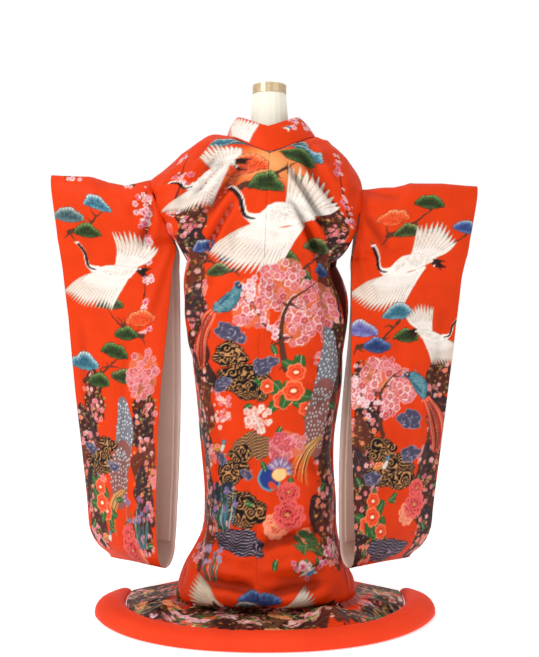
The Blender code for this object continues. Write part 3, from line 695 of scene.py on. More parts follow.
def make_lining(side, word, material):
    """The sleeve's lining on the layer that faces the front, as seen through the open inner side."""
    inset = CLOTH / 2 + LINING / 2 + LINING_CLEAR
    levels = [0.185 + k * 0.0155 for k in range(50)]
    shares = np.linspace(0.05, 0.84, 17)
    points = np.array([[sleeve_point(side, +1, c, h) for c in shares] for h in levels])
    s = np.repeat(shares[None, :], len(levels), 0)
    t = np.repeat(np.array(levels)[:, None], len(shares), 1)
    rows_at, cols_at = row_stops(points, 5, 0.007), col_stops(points, 20, 0.007)
    grid, (s, t) = dense(points, (s, t), rows_at, cols_at)
    normals = normals_of(grid)
    normals *= np.sign(-normals[..., 1].mean())
    lift = 0.0016 + 0.0010 * noise_field(s.shape, (9, 3), 3 + side)
    middle = grid + normals * (inset + lift * np.clip((s - 0.05) / 0.1, 0, 1))[..., None]
    outer, inner = middle + normals * LINING / 2, middle - normals * LINING / 2
    if np.cross(grid[0, 1] - grid[0, 0], grid[1, 0] - grid[0, 0])[1] > 0:
        outer, inner = outer[:, ::-1], inner[:, ::-1]
    mesh = shell_mesh(f"lining_{word}", outer, inner, STEP, 0, (0, 0))
    obj = show(f"inner_lining_{word}", mesh, [material], "lining", f"sleeve_lining_{word}")
    return obj


def collar_path():
    """Pairs of seam and fold points of the collar, from the left front round the neck to the right front."""
    stations = []
    for side in (-1, +1):
        half_path = []
        for row in [COLLAR_END_ROW - 0.08] + [5.5 - k / 2 for k in range(12)]:
            half_path.append((
                ring_point(side, COLLAR_SEAM + 0.004, row, True), ring_point(side, 1.0, row, True),
            ))
        for k in range(1, 24):
            v = 1 - k / 24
            half_path.append((neck_edge(side, +1, v), collar_fold(side, +1, v)))
        for k in range(12):
            v = NAPE_AT * k / 12
            half_path.append((neck_edge(side, -1, v), collar_fold(side, -1, v)))
        stations.append(half_path)
    middle = [(neck_edge(-1, -1, NAPE_AT), collar_fold(-1, -1, NAPE_AT))]
    return stations[0] + middle + list(reversed(stations[1]))


def make_collar(sampler, materials):
    rows = []
    for seam_edge, fold_edge in collar_path():
        across = fold_edge - seam_edge
        start = seam_edge + across * (0.0035 / np.linalg.norm(across))
        out = 1.0 if seam_edge[2] > 1.25 else 0.0
        line = []
        for k in range(13):
            t = k / 12
            line.append(mix(start, fold_edge, t) + np.array((0, 0, out * 0.006 * math.sin(math.pi * t))))
        rows.append(line)
    points = np.array(rows)
    along = np.concatenate([[0], np.cumsum(np.linalg.norm(np.diff(points[:, 6], axis=0), axis=1))])
    along -= along[-1] / 2
    s = np.repeat(along[:, None], 13, 1)
    t = np.repeat(np.linspace(0, 0.08, 13)[None, :], len(rows), 0)
    rows_at, cols_at = row_stops(points, 6, FINE * 1.2), col_stops(points, 35, FINE)
    grid, (s, t) = dense(points, (s, t), rows_at, cols_at)
    sign = np.sign(-normals_of(grid)[len(grid) // 2, :, 1].mean())
    normals = normals_of(grid) * sign
    grid = grid + normals * (0.0012 * noise_field(s.shape, (40, 2), 51))[..., None]
    puff = np.sin(math.pi * np.clip(t / 0.08, 0, 1)) ** 0.5 * 0.0008
    colours, relief = sampler(s, t, grid)
    outer = grid + normals * (BAND / 2 - 0.0004 + puff + relief * 0.0004)[..., None]
    inner = grid - normals * (BAND / 2 - 0.0004)
    if sign < 0:
        outer, inner, colours, relief = outer[:, ::-1], inner[:, ::-1], colours[:, ::-1], relief[:, ::-1]
    mesh = shell_mesh("collar_band", outer, inner, STEP, 0, (0, 1))
    paint_points(mesh, outer.shape[0] * outer.shape[1], colours, relief, INNER_SILK)
    obj = show("collar_band", mesh, materials, "silk", "collar")
    return obj


# ---------------------------------------------------------------- drawing on flat cloth, in centimetres
DOT = 0.14  # the design's finest step, in centimetres
GROUND = (216, 56, 8)
WHITE, PEARL, BISQUE, SHADE = (240, 230, 220), (222, 206, 192), (222, 190, 166), (138, 120, 108)
BLACK, SOOT, BARK, EARTH = (24, 16, 16), (48, 26, 22), (84, 48, 34), (128, 84, 52)
GOLD, OCHRE, STRAW = (206, 150, 84), (196, 122, 52), (232, 200, 130)
PINK, ROSE, BLUSH, MAGENTA = (212, 92, 116), (188, 58, 84), (234, 170, 172), (158, 38, 88)
RED, CORAL, PEACH = (206, 38, 20), (236, 98, 62), (244, 158, 120)
LEAF, MOSS, LIME = (52, 96, 44), (92, 100, 42), (172, 180, 86)
TEAL, NAVY, AZURE, LILAC = (62, 116, 128), (34, 50, 96), (92, 132, 178), (134, 122, 178)
GREEN_PINE = ((32, 40, 22), (64, 88, 44), (120, 146, 84))
MOSS_PINE = ((36, 42, 26), (80, 92, 50), (150, 152, 96))
GREY_PINE = ((42, 66, 72), (100, 120, 120), (206, 202, 190))
BLUE_PINE = ((40, 56, 104), (84, 106, 158), (196, 194, 190))
TEAL_PINE = ((36, 84, 100), (96, 142, 158), (214, 208, 202))
NAVY_PINE = ((28, 40, 78), (62, 84, 134), (122, 146, 180))
RED_PINE = ((206, 62, 28), (230, 92, 48), (246, 150, 104))
LILAC_PINE = ((84, 78, 138), (132, 132, 182), (214, 206, 196))


def dice(seed):
    return np.random.default_rng(abs(int(seed)))


class Canvas:
    """A stretch of flat cloth with its colours (0-255) and how far the embroidery is raised (0-1)."""

    def __init__(self, left, top, right, bottom):
        self.left, self.top = left, top
        self.shape = (int((bottom - top) / DOT), int((right - left) / DOT))
        self.rgb = np.zeros((*self.shape, 3)) + np.array(GROUND, float)
        self.raised = np.zeros(self.shape)

    def window(self, low, high):
        j0, j1 = int((low[0] - self.left) / DOT), int((high[0] - self.left) / DOT) + 2
        i0, i1 = int((low[1] - self.top) / DOT), int((high[1] - self.top) / DOT) + 2
        i0, j0, i1, j1 = max(i0, 0), max(j0, 0), min(i1, self.shape[0]), min(j1, self.shape[1])
        if i0 >= i1 or j0 >= j1:
            return None, None, None
        x = self.left + (np.arange(j0, j1) + 0.5) * DOT
        y = self.top + (np.arange(i0, i1) + 0.5) * DOT
        return (slice(i0, i1), slice(j0, j1)), x[None, :], y[:, None]

    def lay(self, box, cover, colour, lift=0.5, strength=1.0):
        """Lays colour where cover, in centimetres inside the edge, is over nought."""
        a = np.clip(cover / DOT + 0.5, 0, 1) * strength
        colour = np.asarray(colour, float)
        self.rgb[box] += (colour - self.rgb[box]) * a[..., None]
        self.raised[box] += (lift - self.raised[box]) * a

    def sample(self, s, t):
        x = np.clip((s * 100 - self.left) / DOT - 0.5, 0, self.shape[1] - 1.001)
        y = np.clip((t * 100 - self.top) / DOT - 0.5, 0, self.shape[0] - 1.001)
        j, i = x.astype(int), y.astype(int)
        fx, fy = (x - j)[..., None], (y - i)[..., None]
        both = np.concatenate([self.rgb / 255, self.raised[..., None]], 2)
        value = (both[i, j] * (1 - fx) + both[i, j + 1] * fx) * (1 - fy)
        value += (both[i + 1, j] * (1 - fx) + both[i + 1, j + 1] * fx) * fy
        rgb = value[..., :3]
        linear = np.where(rgb <= 0.04045, rgb / 12.92, ((rgb + 0.055) / 1.055) ** 2.4)
        return linear, value[..., 3]


def tint(a, b, k):
    return tuple(p + (q - p) * k for p, q in zip(a, b))


def bend(a, b, bow, n=7):
    """Points from a to b on an arc that bows to the left of the way by a share of its length."""
    a, b = np.array(a, float), np.array(b, float)
    side = np.array((-(b - a)[1], (b - a)[0])) * bow
    k = np.linspace(0, 1, n)[:, None]
    return a + (b - a) * k + side * 4 * k * (1 - k)


def ribbon(cv, points, widths, colour, rim=None, rim_width=0.12, lift=0.5, strength=1.0):
    """A tapered stroke through points; widths are half widths, spread along it."""
    points = np.asarray(points, float)
    widths = np.interp(np.linspace(0, 1, len(points)), np.linspace(0, 1, len(widths)), widths)
    reach = widths.max() + 0.3
    box, x, y = cv.window(points.min(0) - reach, points.max(0) + reach)
    if box is None:
        return
    cover = None
    for (ax, ay), (bx, by), wa, wb in zip(points[:-1], points[1:], widths[:-1], widths[1:]):
        dx, dy = bx - ax, by - ay
        k = np.clip(((x - ax) * dx + (y - ay) * dy) / (dx * dx + dy * dy + 1e-9), 0, 1)
        here = wa + (wb - wa) * k - np.hypot(x - ax - dx * k, y - ay - dy * k)
        cover = here if cover is None else np.maximum(cover, here)
    if rim is not None:
        cv.lay(box, cover, rim, lift * 0.6, strength)
        cover = cover - rim_width
    cv.lay(box, cover, colour, lift, strength)


def blob(
    cv, x0, y0, rx, ry, turn, colour, seed=0, wobble=0.12, rim=None, rim_width=0.15, lift=0.4,
    strength=1.0,
):
    """An uneven rounded patch."""
    reach = max(rx, ry) * (1 + 2 * wobble) + 0.4
    box, x, y = cv.window((x0 - reach, y0 - reach), (x0 + reach, y0 + reach))
    if box is None:
        return
    c, s = math.cos(math.radians(turn)), math.sin(math.radians(turn))
    u, v = ((x - x0) * c + (y - y0) * s) / rx, (-(x - x0) * s + (y - y0) * c) / ry
    rng = dice(seed)
    angle = np.arctan2(v, u)
    edge = 1.0
    for k in (2, 3, 5, 8):
        edge = edge + wobble * rng.uniform(0.3, 1) / math.sqrt(k) * np.sin(k * angle + rng.uniform(0, 6.3))
    cover = (edge - np.hypot(u, v)) * min(rx, ry)
    if rim is not None:
        cv.lay(box, cover, rim, lift, strength)
        cover = cover - rim_width
    cv.lay(box, cover, colour, lift, strength)


def flower(cv, x0, y0, r, petals, colour, rim, heart, turn=0.0, notch=0.3, lift=0.7):
    """A round-petalled blossom with a paler rim and a stamen heart."""
    box, x, y = cv.window((x0 - r - 0.3, y0 - r - 0.3), (x0 + r + 0.3, y0 + r + 0.3))
    if box is None:
        return
    angle, away = np.arctan2(y - y0, x - x0), np.hypot(x - x0, y - y0)
    edge = r * (1 - notch + notch * np.abs(np.cos(petals / 2 * angle + turn)) ** 0.6)
    cv.lay(box, edge - away, rim, lift)
    shade = np.clip(away / r, 0, 1)[..., None]
    body = np.array(tint(colour, heart, 0.35)) * (1 - shade) + np.array(colour) * shade
    cv.lay(box, edge * 0.80 - away, body, lift)
    cv.lay(box, 0.20 * r - away, heart, lift)


def leaf(cv, x, y, length, turn, colour, vein, width=0.26):
    a = math.radians(turn)
    tip = (x + length * math.cos(a), y + length * math.sin(a))
    line = bend((x, y), tip, 0.10, 5)
    ribbon(cv, line, [0.05, width * length, width * length, 0.04], colour, tint(colour, BLACK, 0.45), 0.08)
    ribbon(cv, line, [0.06, 0.03], vein, lift=0.6)


def sprig(cv, x, y, size, seed, n=6, colours=(LEAF, MOSS, LIME)):
    rng = dice(seed)
    for _ in range(int(n * 1.6)):
        dx, dy = rng.normal(0, size * 0.3, 2)
        colour = colours[rng.integers(len(colours))]
        leaf(
            cv, x + dx, y + dy, size * rng.uniform(0.4, 0.8), rng.uniform(0, 360), colour,
            tint(colour, WHITE, 0.5), 0.17,
        )


def pine(cv, x0, y0, width, height, turn, tones, lobes=5):
    """A flat-footed cloud of pine: dark at its heart and foot, needled, with a pale rim along its lobes."""
    reach = max(width, height) * 0.7 + 0.6
    box, x, y = cv.window((x0 - reach, y0 - reach), (x0 + reach, y0 + reach))
    if box is None:
        return
    c, s = math.cos(math.radians(turn)), math.sin(math.radians(turn))
    u, v = (x - x0) * c + (y - y0) * s, (x - x0) * s - (y - y0) * c
    rng = dice(width * 31 + height * 7 + abs(x0))
    inside = None
    for k in range(lobes):
        e = (k + 0.5) / lobes * 2 - 1
        r = height * rng.uniform(0.40, 0.54) * (1 - 0.30 * abs(e))
        cx, cy = e * (width / 2 - r * 0.85), height * (0.20 - 0.42 * e * e) + rng.uniform(
            -0.08, 0.08,
        ) * height
        here = r - np.hypot((u - cx) * 0.92, v - cy)
        inside = here if inside is None else np.maximum(inside, here)
    foot = v + height * 0.34 + 0.12 * height * np.cos(u / width * 2 * math.pi)
    inside = np.maximum(
        inside, np.minimum(height * 0.36 - np.abs(v + 0.05 * height), width * 0.36 - np.abs(u)),
    )
    cover = np.minimum(inside, foot)
    cv.lay(box, cover + 0.12, tint(tones[0], BLACK, 0.5), 0.4)
    k = 1 - np.clip(inside / (height * 0.42), 0, 1)
    k = np.clip(k * 0.75 + 0.40 * (v / height + 0.1), 0, 1)[..., None] ** 1.25
    dark, middle, pale = (np.array(t, float) for t in tones)
    body = np.where(k < 0.5, dark + (middle - dark) * k / 0.5, middle + (pale - middle) * (k - 0.5) / 0.5)
    angle, away = np.arctan2(v + height * 0.75, u * 0.8), np.hypot(v + height * 0.75, u * 0.8)
    spread = np.sin(angle * (10 + width * 3.0) + 1.5 * np.sin(away * 2.1))
    needles = spread * (0.6 + 0.4 * np.sin(away * 6.0 + angle * 9))
    body = body * (1 + 0.20 * needles[..., None] + rng.uniform(-0.24, 0.24, needles.shape)[..., None])
    cv.lay(box, cover, np.clip(body, 0, 255), 0.9)


def branch(
    cv, points, width, colour=SOOT, twigs=6, seed=0, blossoms=0, kinds=((BLUSH, WHITE),), size=0.75,
):
    """A crooked branch with twigs and, if asked, blossoms along them."""
    rng = dice(seed)
    points = np.asarray(points, float)
    at = np.linspace(0, len(points) - 1, 6 * len(points))
    line = spline_weights(at, len(points)) @ points + rng.normal(0, 0.10, (len(at), 2))
    ribbon(cv, line, [width, width * 0.5, 0.06], colour, lift=0.5)
    tips = list(line)
    for _ in range(twigs):
        start = line[rng.integers(len(line))]
        turn = rng.uniform(0, 2 * math.pi)
        tip = start + rng.uniform(1.5, 3.6) * np.array((math.cos(turn), math.sin(turn)))
        twig = bend(start, tip, rng.uniform(-0.2, 0.2), 5)
        ribbon(cv, twig, [width * 0.45, 0.05], colour, lift=0.5)
        tips += list(twig)
    for _ in range(blossoms):
        x, y = tips[rng.integers(len(tips))] + rng.normal(0, 0.7, 2)
        colour, rim = kinds[rng.integers(len(kinds))]
        if rng.random() < 0.25:
            blob(cv, x, y, size * 0.35, size * 0.35, 0, rim, lift=0.8)
        else:
            flower(
                cv, x, y, size * rng.uniform(0.7, 1.2), 5, colour, rim, tint(colour, MAGENTA, 0.7),
                rng.uniform(0, 3),
            )


def mass(
    cv, x0, y0, rx, ry, turn, n, seed, size=1.15,
    kinds=((PINK, BLUSH), (ROSE, PINK), (PEACH, BLUSH)), under=CORAL,
):
    """A bank of blossom over a tinted ground."""
    rng = dice(seed)
    if under is not None:
        blob(cv, x0, y0, rx, ry, turn, under, seed, 0.2, lift=0.2, strength=0.75)
    c, s = math.cos(math.radians(turn)), math.sin(math.radians(turn))
    for _ in range(n):
        a, r = rng.uniform(0, 2 * math.pi), math.sqrt(rng.random())
        u, v = rx * r * math.cos(a), ry * r * math.sin(a)
        colour, rim = kinds[rng.integers(len(kinds))]
        flower(
            cv, x0 + u * c - v * s, y0 + u * s + v * c, size * rng.uniform(0.6, 1.15), 5, colour,
            rim, GOLD, rng.uniform(0, 3),
        )


def peony(cv, x, y, r, dark, pale, seed=0):
    rng = dice(seed)
    for k, (size, lobes) in enumerate(((1.0, 9), (0.82, 8), (0.64, 7), (0.46, 5), (0.28, 4))):
        colour = tint(dark, pale, 0.04 + 0.16 * (k % 2))
        dx, dy = rng.normal(0, 0.06 * r, 2)
        flower(
            cv, x + dx, y + dy, r * size, lobes, colour, pale, tint(dark, BLACK, 0.3),
            rng.uniform(0, 3), 0.22,
        )
        for a in rng.uniform(0, 2 * math.pi, 3 * lobes):
            c, z = math.cos(a) * r * size, math.sin(a) * r * size
            ribbon(
                cv, [(x + 0.5 * c, y + 0.5 * z), (x + 0.86 * c, y + 0.86 * z)], [0.05, 0.13], pale,
                strength=0.8,
            )
    blob(cv, x, y, 0.13 * r, 0.13 * r, 0, GOLD, lift=0.9)


def camellia(cv, x, y, r, seed=0):
    rng = dice(seed)
    for k in range(3):
        leaf(cv, x, y, r * 1.9, rng.uniform(0, 360), LEAF, (220, 232, 200), 0.28)
    flower(cv, x, y, r, 6, (232, 56, 24), (246, 120, 76), (238, 84, 40), rng.uniform(0, 3), 0.22)
    flower(cv, x, y, r * 0.62, 5, (214, 40, 16), (240, 96, 54), GOLD, rng.uniform(0, 3), 0.2)
    blob(cv, x, y, 0.24 * r, 0.18 * r, 0, (250, 232, 190), lift=0.9)


def rock(cv, x0, y0, rx, ry, turn, dark, pale, seed, dots=0, dot_colour=LIME):
    """A rock in outline strokes, mossy if asked."""
    rng = dice(seed)
    blob(cv, x0, y0, rx, ry, turn, dark, seed, 0.22, tint(dark, pale, 0.6), 0.18)
    c, s = math.cos(math.radians(turn)), math.sin(math.radians(turn))
    for _ in range(int(rx * ry * 1.7) + 6):
        u, v = rng.uniform(-0.85, 0.85) * rx, rng.uniform(-0.85, 0.85) * ry
        x, y = x0 + u * c - v * s, y0 + u * s + v * c
        a = rng.uniform(-0.5, 0.5) + math.radians(turn) + (math.pi / 2 if rng.random() < 0.3 else 0)
        d = rng.uniform(0.5, 1.5)
        line = bend((x, y), (x + d * math.cos(a), y + d * math.sin(a)), rng.uniform(-0.25, 0.25), 5)
        ribbon(
            cv, line, [0.05, rng.uniform(0.12, 0.26), 0.05], tint(dark, pale, rng.uniform(0.3, 1.0)),
            strength=0.85,
        )
    for _ in range(dots):
        u, v = rng.uniform(-0.8, 0.8) * rx, rng.uniform(-0.8, 0.8) * ry
        blob(
            cv, x0 + u * c - v * s, y0 + u * s + v * c, 0.42, 0.24, rng.uniform(0, 180), dot_colour,
            lift=0.8,
        )


def thicket(
    cv, x0, y0, rx, ry, turn, seed, tones=(BARK, SOOT, EARTH, OCHRE, MOSS, (120, 44, 40)),
    base=(62, 32, 26),
):
    """Dense undergrowth: dark ground crowded with short strokes and specks of every thread."""
    rng = dice(seed)
    blob(cv, x0, y0, rx, ry, turn, base, seed, 0.25, lift=0.3, strength=0.92)
    c, s = math.cos(math.radians(turn)), math.sin(math.radians(turn))
    for _ in range(int(rx * ry * 2.2)):
        a, r = rng.uniform(0, 2 * math.pi), math.sqrt(rng.random())
        u, v = rx * r * math.cos(a), ry * r * math.sin(a)
        x, y = x0 + u * c - v * s, y0 + u * s + v * c
        tone = tones[rng.integers(len(tones))]
        kind = rng.random()
        if kind < 0.62:
            a = rng.uniform(0, math.pi)
            d = rng.uniform(0.6, 1.7)
            line = bend((x, y), (x + d * math.cos(a), y + d * math.sin(a)), rng.uniform(-0.3, 0.3), 5)
            ribbon(cv, line, [0.06, rng.uniform(0.14, 0.3), 0.05], tone, lift=0.6)
        elif kind < 0.86:
            blob(
                cv, x, y, rng.uniform(0.2, 0.5), rng.uniform(0.2, 0.4), 0, tint(tone, STRAW, 0.4),
                lift=0.7,
            )
        else:
            flower(
                cv, x, y, rng.uniform(0.5, 0.9), 5, (PINK, CORAL, BLUSH)[rng.integers(3)], BLUSH,
                GOLD, rng.uniform(0, 3),
            )


def plumage(cv, spine, widths, gap, seed, tones, eye=0.62, base=(84, 62, 58)):
    """A hanging peacock's train: staggered arcs of eyes along spine, with tones from top to foot."""
    rng = dice(seed)
    spine = np.asarray(spine, float)
    steps = int(np.hypot(*(spine[-1] - spine[0])) / gap)
    at = spline_weights(np.linspace(0, len(spine) - 1, steps), len(spine)) @ spine
    half = np.interp(np.linspace(0, 1, steps), np.linspace(0, 1, len(widths)), widths)
    ribbon(cv, at, list(half), base, lift=0.5)
    for i in reversed(range(steps)):
        p, w = at[i], half[i]
        way = at[min(i + 1, steps - 1)] - at[max(i - 1, 0)]
        way /= max(np.hypot(*way), 1e-6)
        side = np.array((-way[1], way[0]))
        count = max(int(2 * w / (gap * 1.05)), 1)
        place = i / (steps - 1) * (len(tones) - 1)
        low = min(int(place), len(tones) - 2)
        for k in range(count + 1):
            e = (k + 0.5 * (i % 2)) / count * 2 - 1
            if abs(e) > 1:
                continue
            q = p + side * e * w * 0.92 + way * (0.3 * w * e * e) + rng.normal(0, 0.17 * gap, 2)
            if rng.random() < 0.14:
                continue
            tone = tint(tones[low], tones[low + 1], np.clip(place - low + rng.normal(0, 0.15), 0, 1))
            turn = math.degrees(math.atan2(way[1], way[0]))
            size = eye * gap
            for b in (-0.4, 0.4):
                ribbon(
                    cv, [q, q + (way + side * b) * gap * 0.9], [0.09, 0.04], tint(tone, EARTH, 0.5),
                    lift=0.6, strength=0.7,
                )
            rim = tint((44, 66, 78), tone, 0.25)
            blob(
                cv, q[0], q[1], size * 0.56, size * 0.50, turn, tone, rim=rim, rim_width=0.16,
                wobble=0.03, lift=0.95,
            )
            blob(
                cv, q[0] - 0.07 * gap, q[1] - 0.08 * gap, size * 0.27, size * 0.24, turn,
                tint(tone, WHITE, 0.8), wobble=0.02, lift=0.95,
            )


def water(cv, x0, y0, rx, ry, turn, seed, swirls=4, line=GOLD, dark=BLACK):
    """Dark water combed with couched gold waves and eddies."""
    rng = dice(seed)
    reach = max(rx, ry) * 1.4 + 0.5
    box, x, y = cv.window((x0 - reach, y0 - reach), (x0 + reach, y0 + reach))
    if box is None:
        return
    c, s = math.cos(math.radians(turn)), math.sin(math.radians(turn))
    u, v = (x - x0) * c + (y - y0) * s, -(x - x0) * s + (y - y0) * c
    angle = np.arctan2(v / ry, u / rx)
    edge = 1 + 0.10 * np.sin(3 * angle + seed) + 0.06 * np.sin(7 * angle + 2 * seed)
    inside = (edge - np.hypot(u / rx, v / ry)) * min(rx, ry)
    cv.lay(box, inside, dark, 0.3)
    field = v + 0.6 * np.sin(u * 0.6 + seed) + 0.3 * np.sin(u * 1.5 + v * 0.4)
    for _ in range(int(swirls * 1.8)):
        a, b = rng.uniform(-0.85, 0.85) * rx, rng.uniform(-0.75, 0.75) * ry
        away = np.hypot(u - a, (v - b) * 1.2)
        near = np.clip(1.2 - away / rng.uniform(1.8, 3.0), 0, 1) ** 0.5
        field = field * (1 - near) + (away * 0.95 + 0.15 * np.arctan2(v - b, u - a)) * near
    wave = np.abs((field / 0.84) % 1 - 0.5)
    strand = 0.5 + 0.5 * np.sin(u * 1.1 + v * 0.7 + seed)
    cv.lay(box, np.minimum(wave - 0.345, inside - 0.1), tint(line, PEACH, 0.35), 0.9, 0.92)
    cv.lay(box, np.minimum(wave - 0.43, inside - 0.1), line, 0.9, 0.3 + 0.6 * strand)


def fan(cv, roots, tips, n, width, pale=WHITE, blush=BISQUE, bow=0.05, coverts=0.46):
    """A spread wing: feathers from a line of roots to a line of tips, then the coverts over them."""
    share = np.linspace(0, 1, n)
    start = spline_weights(share * (len(roots) - 1), len(roots)) @ np.array(roots, float)
    end = spline_weights(share * (len(tips) - 1), len(tips)) @ np.array(tips, float)
    for a, b, w in zip(start, end, share):
        tone = tint(pale, blush, 0.5 * (1 - w))
        line = bend(a, b, bow, 7)
        ribbon(
            cv, line, [width * 0.5, width * 0.9, width, width * 0.8, 0.12], tone,
            tint(SHADE, blush, 0.2), 0.11, 0.9,
        )
        ribbon(cv, line[3:], [0.08, 0.05], tint(SHADE, tone, 0.5), lift=0.9, strength=0.55)
    for a, b in zip(start, end):
        line = bend(a, a + (b - a) * coverts, bow, 5)
        ribbon(cv, line, [width * 0.7, width * 0.75, 0.15], pale, tint(SHADE, pale, 0.55), 0.08, 0.95)
    ribbon(cv, start, [width * 0.8, width * 0.7, width * 0.5], pale, lift=1.0)


def scales(cv, points, widths, colour, rim, n, seed, size=0.34):
    """Small overlapping body feathers inside a stroke."""
    rng = dice(seed)
    points = np.asarray(points, float)
    at = spline_weights(rng.uniform(0, len(points) - 1, n), len(points)) @ points
    where = np.linspace(0, 1, len(points))
    for p in at:
        w = np.interp(rng.random(), where, np.interp(where, np.linspace(0, 1, len(widths)), widths)) * 0.75
        q = p + rng.uniform(-w, w, 2)
        flower(cv, q[0], q[1], size, 3, colour, rim, colour, rng.uniform(0, 3), 0.1, 1.0)


def neck(cv, points, thick=0.42):
    """A crane's neck: white, black at the throat, to a small head with a red crown and a bill."""
    at = spline_weights(np.linspace(0, len(points) - 1, 30), len(points)) @ np.array(points, float)
    ribbon(cv, at, [thick * 2.4, thick * 1.6, thick * 1.3, thick * 1.2], WHITE, lift=1.0)
    ribbon(cv, at[3:] + np.array((-0.15, 0.25)), [0.15, thick, thick, thick * 0.9], BLACK, lift=1.0)
    head, way = at[-1], at[-1] - at[-4]
    way = way / max(np.hypot(*way), 1e-6)
    blob(cv, head[0], head[1], 0.55, 0.48, 0, WHITE, lift=1.0)
    blob(cv, head[0], head[1] - 0.4, 0.42, 0.26, 0, (208, 34, 24), lift=1.0)
    ribbon(cv, [head + way * 0.4, head + way * 2.0], [0.22, 0.04], tint(BARK, OCHRE, 0.3), lift=0.9)


def crane(cv, tail, chest, neck, head, thick, tail_way, crown=True):
    """Body, black-throated neck, red crown and black tail of a crane; its wings are laid separately."""
    tail, chest = np.array(tail, float), np.array(chest, float)
    rng = np.random.default_rng(int(abs(chest[0]) * 10) + 3)
    for k in range(9):
        a = math.radians(tail_way + rng.uniform(-26, 26))
        end = tail + rng.uniform(2.4, 4.6) * np.array((math.cos(a), math.sin(a)))
        ribbon(
            cv, bend(tail, end, rng.uniform(-0.15, 0.15), 5), [0.25, 0.34, 0.07],
            tint(BLACK, BARK, rng.random() * 0.5),
        )
    body = bend(tail, chest, 0.08, 9)
    ribbon(cv, body, [0.45, thick, thick * 1.05, thick * 0.6], WHITE, tint(SHADE, WHITE, 0.3), 0.08, 1.0)
    scales(cv, body, [0.3, thick, thick * 0.5], WHITE, tint(SHADE, WHITE, 0.35), int(thick * 26), 5)
    path = spline_weights(
        np.linspace(0, len(neck) + 1, 26), len(neck) + 2,
    ) @ np.array([chest, *neck, head], float)
    ribbon(cv, path, [thick * 0.6, 0.42, 0.32, 0.30], WHITE, lift=1.0)
    ribbon(cv, path[9:], [0.10, 0.30, 0.28], BLACK, lift=1.0)
    ribbon(cv, path[7:24] + np.array((0.14, -0.10)), [0.05, 0.16, 0.12], WHITE, lift=1.0)
    blob(cv, head[0], head[1], 0.48, 0.40, 0, WHITE, lift=1.0)
    way = np.array(head, float) - path[-4]
    way /= max(np.hypot(*way), 1e-6)
    if crown:
        blob(cv, head[0], head[1] - 0.34, 0.34, 0.20, 0, (214, 30, 24), lift=1.0)
    ribbon(cv, [head + way * 0.3, head + way * 1.5], [0.16, 0.03], tint(BARK, OCHRE, 0.4), lift=0.9)


def pheasant(cv, head, body, tail, seed, tones=(TEAL, NAVY), plume=(CORAL, RED), spread=1.7):
    """A long-tailed bird; tail is the points its plumes stream along."""
    tail = np.array(tail, float)
    at = spline_weights(np.linspace(0, len(tail) - 1, 30), len(tail)) @ tail
    way = np.gradient(at, axis=0)
    side = np.stack([-way[:, 1], way[:, 0]], 1) / np.hypot(way[:, 0], way[:, 1])[:, None]
    swell = (0.25 + np.sin(np.linspace(0.25, 2.9, 30)))[:, None] * spread
    ribbon(cv, at, [0.5, spread * 1.1, spread * 0.9, 0.3], (120, 40, 30), lift=0.4)
    for k in range(9):
        line = at + side * swell * ((k - 4) / 4.6)
        tone = (plume[0], (240, 140, 110), plume[1])[k % 3]
        ribbon(cv, line, [0.16, 0.22, 0.08], tone, lift=0.9)
    for p, q in zip(at[3:-3], side[3:-3] * swell[3:-3] * 0.28):
        ribbon(cv, [p - q, p + q], [0.13, 0.13], BLACK, lift=0.9, strength=0.8)
    head, body = np.array(head, float), np.array(body, float)
    path = bend(body, head, 0.15, 8)
    ribbon(cv, path, [1.2, 2.4, 1.9, 0.8], tones[0], tint(BLACK, tones[0], 0.3), 0.14, 0.9)
    scales(cv, path, [1.2, 2.2, 0.9], tones[0], tint(tones[0], WHITE, 0.55), 60, seed, 0.42)
    ribbon(
        cv, [body + (head - body) * 0.15, body + (head - body) * 0.6], [0.3, 0.8, 0.2],
        tint(tones[1], tones[0], 0.4), lift=0.9,
    )
    blob(cv, head[0], head[1], 1.0, 0.85, 20, tones[1], lift=1.0)
    blob(cv, head[0], head[1] - 0.1, 0.25, 0.22, 0, WHITE, wobble=0, lift=1.0)
    ribbon(cv, [head, head + (head - body) * 0.35], [0.2, 0.03], GOLD)


def duck(cv, x, y, size, way, seed):
    """A mandarin duck on the water."""
    k = size * way
    ribbon(
        cv, bend((x - k, y + size * 0.15), (x + 0.8 * k, y), -0.15 * way, 7),
        [0.2, size * 0.5, size * 0.42, 0.2], OCHRE, BLACK, 0.12, 0.9,
    )
    ribbon(
        cv, bend((x - k * 0.9, y), (x + 0.3 * k, y - size * 0.25), -0.2 * way, 6),
        [0.1, size * 0.25, 0.1], CORAL, WHITE, 0.1, 0.95,
    )
    ribbon(
        cv, bend((x + 0.5 * k, y), (x + 0.9 * k, y - size * 0.7), 0.1 * way, 5),
        [size * 0.3, size * 0.2], PEARL, SHADE, 0.08, 0.95,
    )
    blob(cv, x + 0.95 * k, y - size * 0.8, size * 0.34, size * 0.28, 0, TEAL, seed, 0.05, lift=1.0)
    ribbon(
        cv, [(x + 1.1 * k, y - size * 0.75), (x + 1.5 * k, y - size * 0.65)], [0.16, 0.05], RED,
        lift=1.0,
    )
    blob(cv, x + 0.98 * k, y - size * 0.84, 0.12, 0.12, 0, WHITE, wobble=0, lift=1.0)


